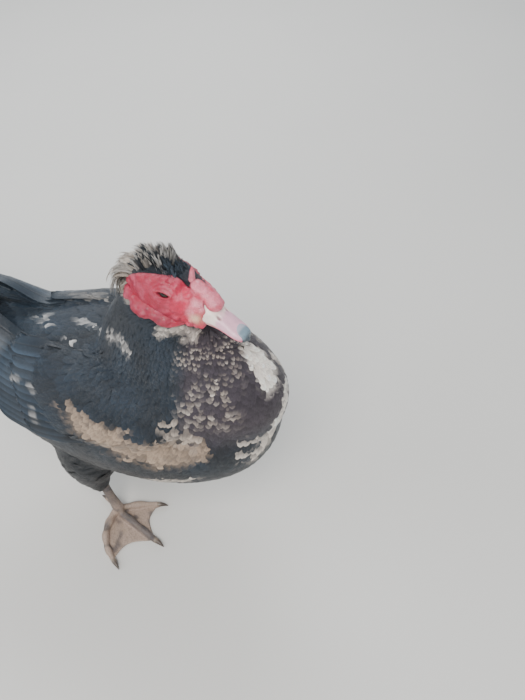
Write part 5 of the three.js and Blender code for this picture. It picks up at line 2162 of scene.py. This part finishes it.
@dataclass
class Crest:
    """Long narrow plumes over crown and nape, in clumps that stand up and curl back."""

    seed: int = 46
    clumps: int = 150
    each: int = 12
    arc_x: float = -10.0
    arc_z: float = -2.0
    arc_long: float = 38.0
    arc_high: float = 25.0
    arc_wide: float = 15.0
    # Degrees up from the bill's way, and how far from the arc's middle the tips reach there
    reach: Track = field(default_factory=lambda: Track([
        [38, 37], [54, 39], [70, 42], [84, 48], [96, 50], [119, 47], [140, 49], [160, 57], [184, 69],
        [200, 80], [212, 84], [228, 76],
    ]))

    def build(self, lie: Lie) -> Thing:
        """Builds the crest's plumes.

        Args:
            lie: which way the coat lies.

        Returns:
            The plumes.
        """
        rng = np.random.default_rng(self.seed)
        n = self.clumps * self.each

        def shared(low: float, high: float) -> Array:
            """Returns a draw for each clump, the same for all its plumes."""
            return np.repeat(rng.uniform(low, high, self.clumps), self.each)

        place = shared(0, 1)
        foot = 50 + 162 * place + rng.normal(0, 2.5, n)
        spread = np.radians((shared(-64, 64) + rng.normal(0, 5, n)) * lerp(0.72, 1, smooth((foot - 74) / 40)))
        sweep = lerp(0, 24, smooth((foot - 60) / 90)) + shared(-6, 8) + rng.normal(0, 3, n)
        a, b = np.radians(foot), np.radians(foot + sweep)
        inner = rng.uniform(0.7, 0.92, n)
        base = np.stack([
            self.arc_x + self.arc_long * np.cos(a) * inner, self.arc_wide * np.sin(spread),
            self.arc_z + self.arc_high * np.sin(a) * inner * np.cos(spread) ** 0.3,
        ], 1)
        far = self.reach(np.degrees(b))[:, 0] * shared(0.84, 1.0) * rng.uniform(0.84, 1.0, n)
        far *= 1 - 0.16 * np.abs(np.sin(spread))
        wide = np.sin(spread) * (self.arc_wide + 3) + shared(-3, 3) + rng.normal(0, 1.2, n)
        tip = np.stack([self.arc_x + far * np.cos(b), wide, self.arc_z + far * np.sin(b)], 1)
        long = np.linalg.norm(tip - base, axis=1)
        up = np.radians(foot - 14 * smooth((foot - 90) / 50))
        rise = np.stack([np.cos(up), 0.5 * np.sin(spread), np.sin(up)], 1)
        bend = base + unit(rise) * (long * 0.62)[:, None]
        out = unit(np.stack([0.4 * np.cos(a), 0.6 * np.sin(spread) + rng.normal(0, 0.35, n), 0 * a + 1], 1))
        turned = [from_head(v) for v in (base, bend, tip)]
        normal = out @ HEAD_TURN.T
        rear = smooth((foot + shared(-26, 26) - 108) / 26)
        front = smooth((80 - foot) / 16)
        streak = (shared(0, 1) < 0.5).astype(float) * (1 - front)
        dark = Tone.CREST_FRONT.over(Tone.BLACK.rgb(), front)
        middle = Tone.GREY.over(dark, streak * 0.8)
        cream = Tone.TAN.over(Tone.CREAM.rgb(), rng.random(n) * 0.5)
        pale = rear * (0.35 + 0.65 * (shared(0, 1) < 0.72).astype(float))
        colour = lerp(middle, cream, pale[:, None]) * rng.uniform(0.75, 1.0, n)[:, None]
        ends = Tone.WHITE.over(colour, 0.32 * np.maximum(streak, rear) * rng.uniform(0.2, 1, n))
        batch = Feathers(
            *turned, normal, normal, rng.uniform(1.3, 2.5, n), colour * 0.75, ends, unwrap(turned[0], lie),
            rings=(0.0, 0.2, 0.42, 0.64, 0.84, 1.0), outline=(0.5, 0.8, 1.0, 0.9, 0.6, 0.06),
        )
        mesh = batch.mesh("crest_plumes")
        mesh.materials.append(Plumage("crest_plumage", roughness=0.5).material())
        made = placed("crest_plumes", mesh)
        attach(made, "root")
        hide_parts("crest")
        LOG.info("crest_plumes: %d plumes", n)
        return made


# Legs and feet


@dataclass
class Foot:
    """One leg below the feathers: shank, webbed toes and claws."""

    side: int
    name: str
    grain: float = 0.9
    shank: tuple[tuple[float, ...], ...] = (
        (-10, 63, 86, 6, 6), (-11, 63, 74, 8.5, 9), (-7, 64, 58, 6, 7), (-2, 65, 40, 5.4, 6.6),
        (4, 66, 22, 6.4, 7.4), (9, 67, 10, 8, 7), (12, 67, 5, 6, 5),
    )
    root: tuple[float, float, float] = (4, 67, 6.5)
    # Each toe's tip, half width, number of joints and bow away from a straight line
    toes: tuple[tuple[float, ...], ...] = (
        (40, 136, 3.6, 4.6, 4, 13), (78, 90, 3.6, 5, 3, 0), (55, 39, 3.6, 4.6, 2, -3),
    )
    web_thick: float = 1.9
    hind: tuple[tuple[float, ...], ...] = (
        (8, 64, 12, 4.4, 4.4), (-2, 61, 9, 4, 4.6), (-13, 57, 5, 3.4, 4), (-22, 54, 4, 2.8, 3),
    )
    # Each claw's stations: way past the toe's tip, height and share of the toe's width
    claw: tuple[tuple[float, float, float], ...] = (
        (-4, 0.4, 0.74), (0, 0.8, 0.74), (4, 0.8, 0.58), (8, -0.4, 0.36), (12, -2.2, 0.1),
    )

    def at(self, x: float, y: float, *rest: float) -> tuple[float, ...]:
        """Returns a station on this side of the bird."""
        return (x, self.side * y, *rest)

    def on_toe(self, toe: Sequence[float], t: Array | float) -> Array:
        """Returns places on a toe's line, t from 0 at its root to 1 at its tip."""
        a, b = np.array(self.root), np.array(toe[:3], float)
        across = unit(np.array([a[1] - b[1], b[0] - a[0], 0.0]))
        t = np.asarray(t, float)[..., None]
        return (a + (b - a) * t + across * toe[5] * np.sin(np.pi * t)) * np.array([1, self.side, 1])

    def toe(self, toe: Sequence[float]) -> list[tuple[float, ...]]:
        """Returns a toe's stations, swollen at its joints.

        Args:
            toe: the toe's sizes.

        Returns:
            x, y, z, half width and half height at each station.
        """
        rows = []
        for t in np.linspace(0, 1, 14):
            x, y, _ = self.on_toe(toe, t * 1.03)
            knuckle = 1 + 0.16 * math.cos(2 * math.pi * t * toe[4])
            wide, high = toe[3] * lerp(1.2, 0.8, t) * knuckle, lerp(6.5, 4.4, t) * knuckle
            rows.append((x, y, lerp(5.5, 3, t), wide, high))
        return rows

    def web(self, bm: bmesh.types.BMesh, one: Sequence[float], two: Sequence[float]) -> None:
        """Adds the skin between two toes, its free edge drawn in.

        Args:
            bm: the bmesh.
            one: one toe's sizes.
            two: the next toe's sizes.
        """
        made = bmesh.ops.create_grid(bm, x_segments=28, y_segments=24, size=1.0)
        grid = np.array([v.co for v in made["verts"]])
        s, k = 0.5 + 0.5 * grid[:, 0], 0.5 + 0.5 * grid[:, 1]
        drawn = 0.96 - 0.17 * np.sin(np.pi * k)
        reach = lerp(0.06, drawn, s)
        at = lerp(self.on_toe(one, reach), self.on_toe(two, reach), k[:, None])
        at[:, 2] = 3.0 - 0.6 * np.sin(np.pi * k) + 0.25 * np.sin(k * 40 + s * 9) * np.sin(np.pi * k)
        for v, w in zip(made["verts"], to_row(at)):
            v.co = w
        mine = set(made["verts"])
        faces = [f for f in bm.faces if f.verts[0] in mine]
        bmesh.ops.solidify(bm, geom=faces, thickness=self.web_thick * MM)

    def build(self) -> Thing:
        """Builds the leg's skin and its claws, and returns the skin.

        Returns:
            The skin.
        """
        bm = bmesh.new()
        lofted(bm, limb_form([self.at(*row) for row in self.shank]), 40, 40)
        for toe in self.toes:
            lofted(bm, limb_form(self.toe(toe)), 28, 56)
        lofted(bm, limb_form([self.at(*row) for row in self.hind]), 24, 24)
        for one, two in zip(self.toes[:-1], self.toes[1:]):
            self.web(bm, one, two)
        skin = object_of(bm, "leg_skin_" + self.name)
        fused(skin, self.grain, 3)
        self.dress(skin)
        for which, toe in zip(("outer", "middle", "inner"), self.toes):
            self.claw_of(which, self.on_toe(toe, 0.94), self.on_toe(toe, 1.0), toe[3])
        self.claw_of("hind", np.array(self.at(4, 62, 12)), np.array(self.at(-17, 56, 4.5)), 3.4)
        return skin

    def dress(self, skin: Thing) -> None:
        """Raises the scales across shank and toes and paints the blotches, with painted shade over the shank.

        Args:
            skin: the leg's skin.
        """
        mesh = skin.data
        p, n = points_of(mesh), normals_of(mesh)
        rise = 0.25 * np.sin(p[:, 2] * 2 * np.pi / 3.4) * smooth((p[:, 2] - 14) / 6) * smooth(n[:, 0] * 2)
        dark_toe = np.zeros(len(p))
        for toe in self.toes:
            dots = self.on_toe(toe, np.linspace(0, 1.04, 60))
            away = np.linalg.norm(p[:, None, :2] - dots[None, :, :2], axis=2)
            nearest = away.argmin(1)
            near = smooth((5.2 - away.min(1)) / 2) * smooth((nearest - 3) / 4)
            length = np.linalg.norm(dots[-1] - dots[0])
            ridge = np.abs(np.sin(nearest / 60 * length * np.pi / 3.2)) ** 0.6
            rise += 0.3 * (ridge - 0.5) * near * smooth(n[:, 2] * 2)
            if toe is self.toes[1]:
                dark_toe = smooth((6.5 - away.min(1)) / 3) * smooth((nearest - 4) / 8)
        p = p + n * rise[:, None]
        p[:, 2] = np.maximum(p[:, 2], FLOOR_GAP)
        move_points(mesh, p)
        blotch = smooth(speckle(p, 11.0, 2.0 + self.side) * 2.4 - 0.15)
        colour = Tone.LEG_DARK.over(Tone.LEG.rgb(), 0.8 * blotch)
        # Painted shade: the shank darker going up under the body
        shank = smooth((p[:, 2] - 10) / 24)
        colour = Tone.LEG_DARK.over(colour, 0.75 * shank)
        colour = Tone.LEG_DARK.over(colour, 0.8 * dark_toe)
        paint(mesh, colour)
        mesh.materials.append(ScaledSkin("leg_scales_" + self.name).material())

    def claw_of(self, which: str, a: Array, b: Array, wide: float) -> Thing:
        """Builds one claw from inside its toe to its point.

        Args:
            which: the toe's name.
            a: a place on the toe before its tip.
            b: the toe's tip.
            wide: the toe's half width.

        Returns:
            The claw.
        """
        way = unit((b - a) * np.array([1, 1, 0]))
        rows = []
        for past, rise, share in self.claw:
            rows.append((*(b + way * past + np.array([0, 0, rise])), wide * share, wide * share))
        name = f"claw_{which}_{self.name}"
        made = piece(name, limb_form(rows), 24, 20)
        p = points_of(made.data)
        p[:, 2] = np.maximum(p[:, 2], FLOOR_GAP)
        move_points(made.data, p)
        along = (p - b) @ way
        paint(made.data, Tone.CLAW_PALE.over(Tone.CLAW.rgb(), 0.7 * smooth((4 - along) / 6)))
        made.data.materials.append(Horn("claw_horn", 0.4, 0.8).material())
        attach(made, "root")
        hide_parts(name)
        return made


# Stage


@dataclass(frozen=True)
class Lamp:
    """A soft square lamp: its place and width in metres, its watts and its tint."""

    name: str
    at: tuple[float, float, float]
    size: float
    power: float
    tint: tuple[float, float, float]

    def build(self, target: Vector) -> None:
        """Adds the lamp, turned to its target.

        Args:
            target: the place that it lights.
        """
        data = bpy.data.lights.new(self.name, "AREA")
        data.shape = "SQUARE"
        data.size = self.size
        data.energy = self.power
        data.color = self.tint
        lamp = placed(self.name, data)
        lamp.location = self.at
        lamp.rotation_euler = (target - Vector(self.at)).to_track_quat("-Z", "Y").to_euler()


@dataclass
class Studio:
    """Floor, lights and the camera at the photo's angle."""

    lamps: tuple[Lamp, ...] = (
        Lamp("key", (0.6, -1.3, 1.9), 1.2, 56, (1.0, 0.975, 0.94)),
        Lamp("fill", (-1.5, -0.9, 1.3), 1.6, 20, (0.92, 0.96, 1.0)),
        Lamp("back", (-0.6, 1.6, 1.6), 1.4, 36, (0.95, 0.98, 1.0)),
    )
    target: tuple[float, float, float] = (0, 0, 0.25)
    sky: tuple[float, float, float] = (0.81, 0.89, 1.0)
    sky_strength: float = 0.68
    floor_size: float = 4.0
    camera_at: tuple[float, float, float] = (0.5381, -0.4963, 0.890)
    forward: tuple[float, float, float] = (-0.2936, 0.6296, -0.7193)
    roll: float = -4.0
    lens: float = 39.09

    def build(self) -> None:
        """Builds the floor, the lights, the sky and the camera."""
        bm = bmesh.new()
        bmesh.ops.create_grid(bm, x_segments=8, y_segments=8, size=self.floor_size)
        floor = object_of(bm, "floor")
        floor.data.materials.append(FloorFinish().material())
        for lamp in self.lamps:
            lamp.build(Vector(self.target))
        world = bpy.data.worlds.new("sky")
        world.use_nodes = True
        background = world.node_tree.nodes["Background"]
        background.inputs["Color"].default_value = (*self.sky, 1)
        background.inputs["Strength"].default_value = self.sky_strength
        bpy.context.scene.world = world
        self.camera()

    def camera(self) -> None:
        """Adds the camera, rolled as the photo is."""
        forward = Vector(self.forward).normalized()
        right = forward.cross(Vector((0, 0, 1))).normalized()
        up = right.cross(forward)
        turn = math.radians(self.roll)
        x = right * math.cos(turn) + up * math.sin(turn)
        y = up * math.cos(turn) - right * math.sin(turn)
        data = bpy.data.cameras.new("camera")
        data.lens = self.lens
        camera = placed("camera", data)
        camera.matrix_world = Matrix((
            (x[0], y[0], -forward[0], self.camera_at[0]),
            (x[1], y[1], -forward[1], self.camera_at[1]),
            (x[2], y[2], -forward[2], self.camera_at[2]),
            (0, 0, 0, 1),
        ))
        bpy.context.scene.camera = camera


def main() -> None:
    """Builds the drake over its frame, piece by piece."""
    logging.basicConfig(level=logging.INFO, format="%(name)s %(message)s")
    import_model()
    lie = Lie()
    body = Body()
    form = body.form()
    LOG.info("outline: %d faces", len(form.data.polygons))
    Coat(form, lie).build()
    body.dress(form, lie)
    head = Head()
    skin = head.skin()
    LOG.info("head skin: %d faces", len(skin.data.polygons))
    legs = []
    for side, name in ((1, "left"), (-1, "right")):
        head.eye(side, "eye_" + name)
        Wing(side, "wing_feathers_" + name).build()
        legs.append(Foot(side, name).build())
    joined(skin, form, *legs)
    thinned(skin, SKIN_TRIANGLES)
    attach(skin, "root")
    flesh = ("torso", "neck", "head", "face_left", "face_right", "knob")
    limbs = (f"{part}_{name}" for part in ("thigh", "leg", "foot") for name in ("left", "right"))
    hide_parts(*flesh, *limbs)
    LOG.info("skin: %d faces", len(skin.data.polygons))
    bill = Bill()
    bill.half(True)
    bill.half(False)
    bill.nail()
    TailFan().build()
    Crest().build(lie)
    Studio().build()


if __name__ == "__main__":
    main()
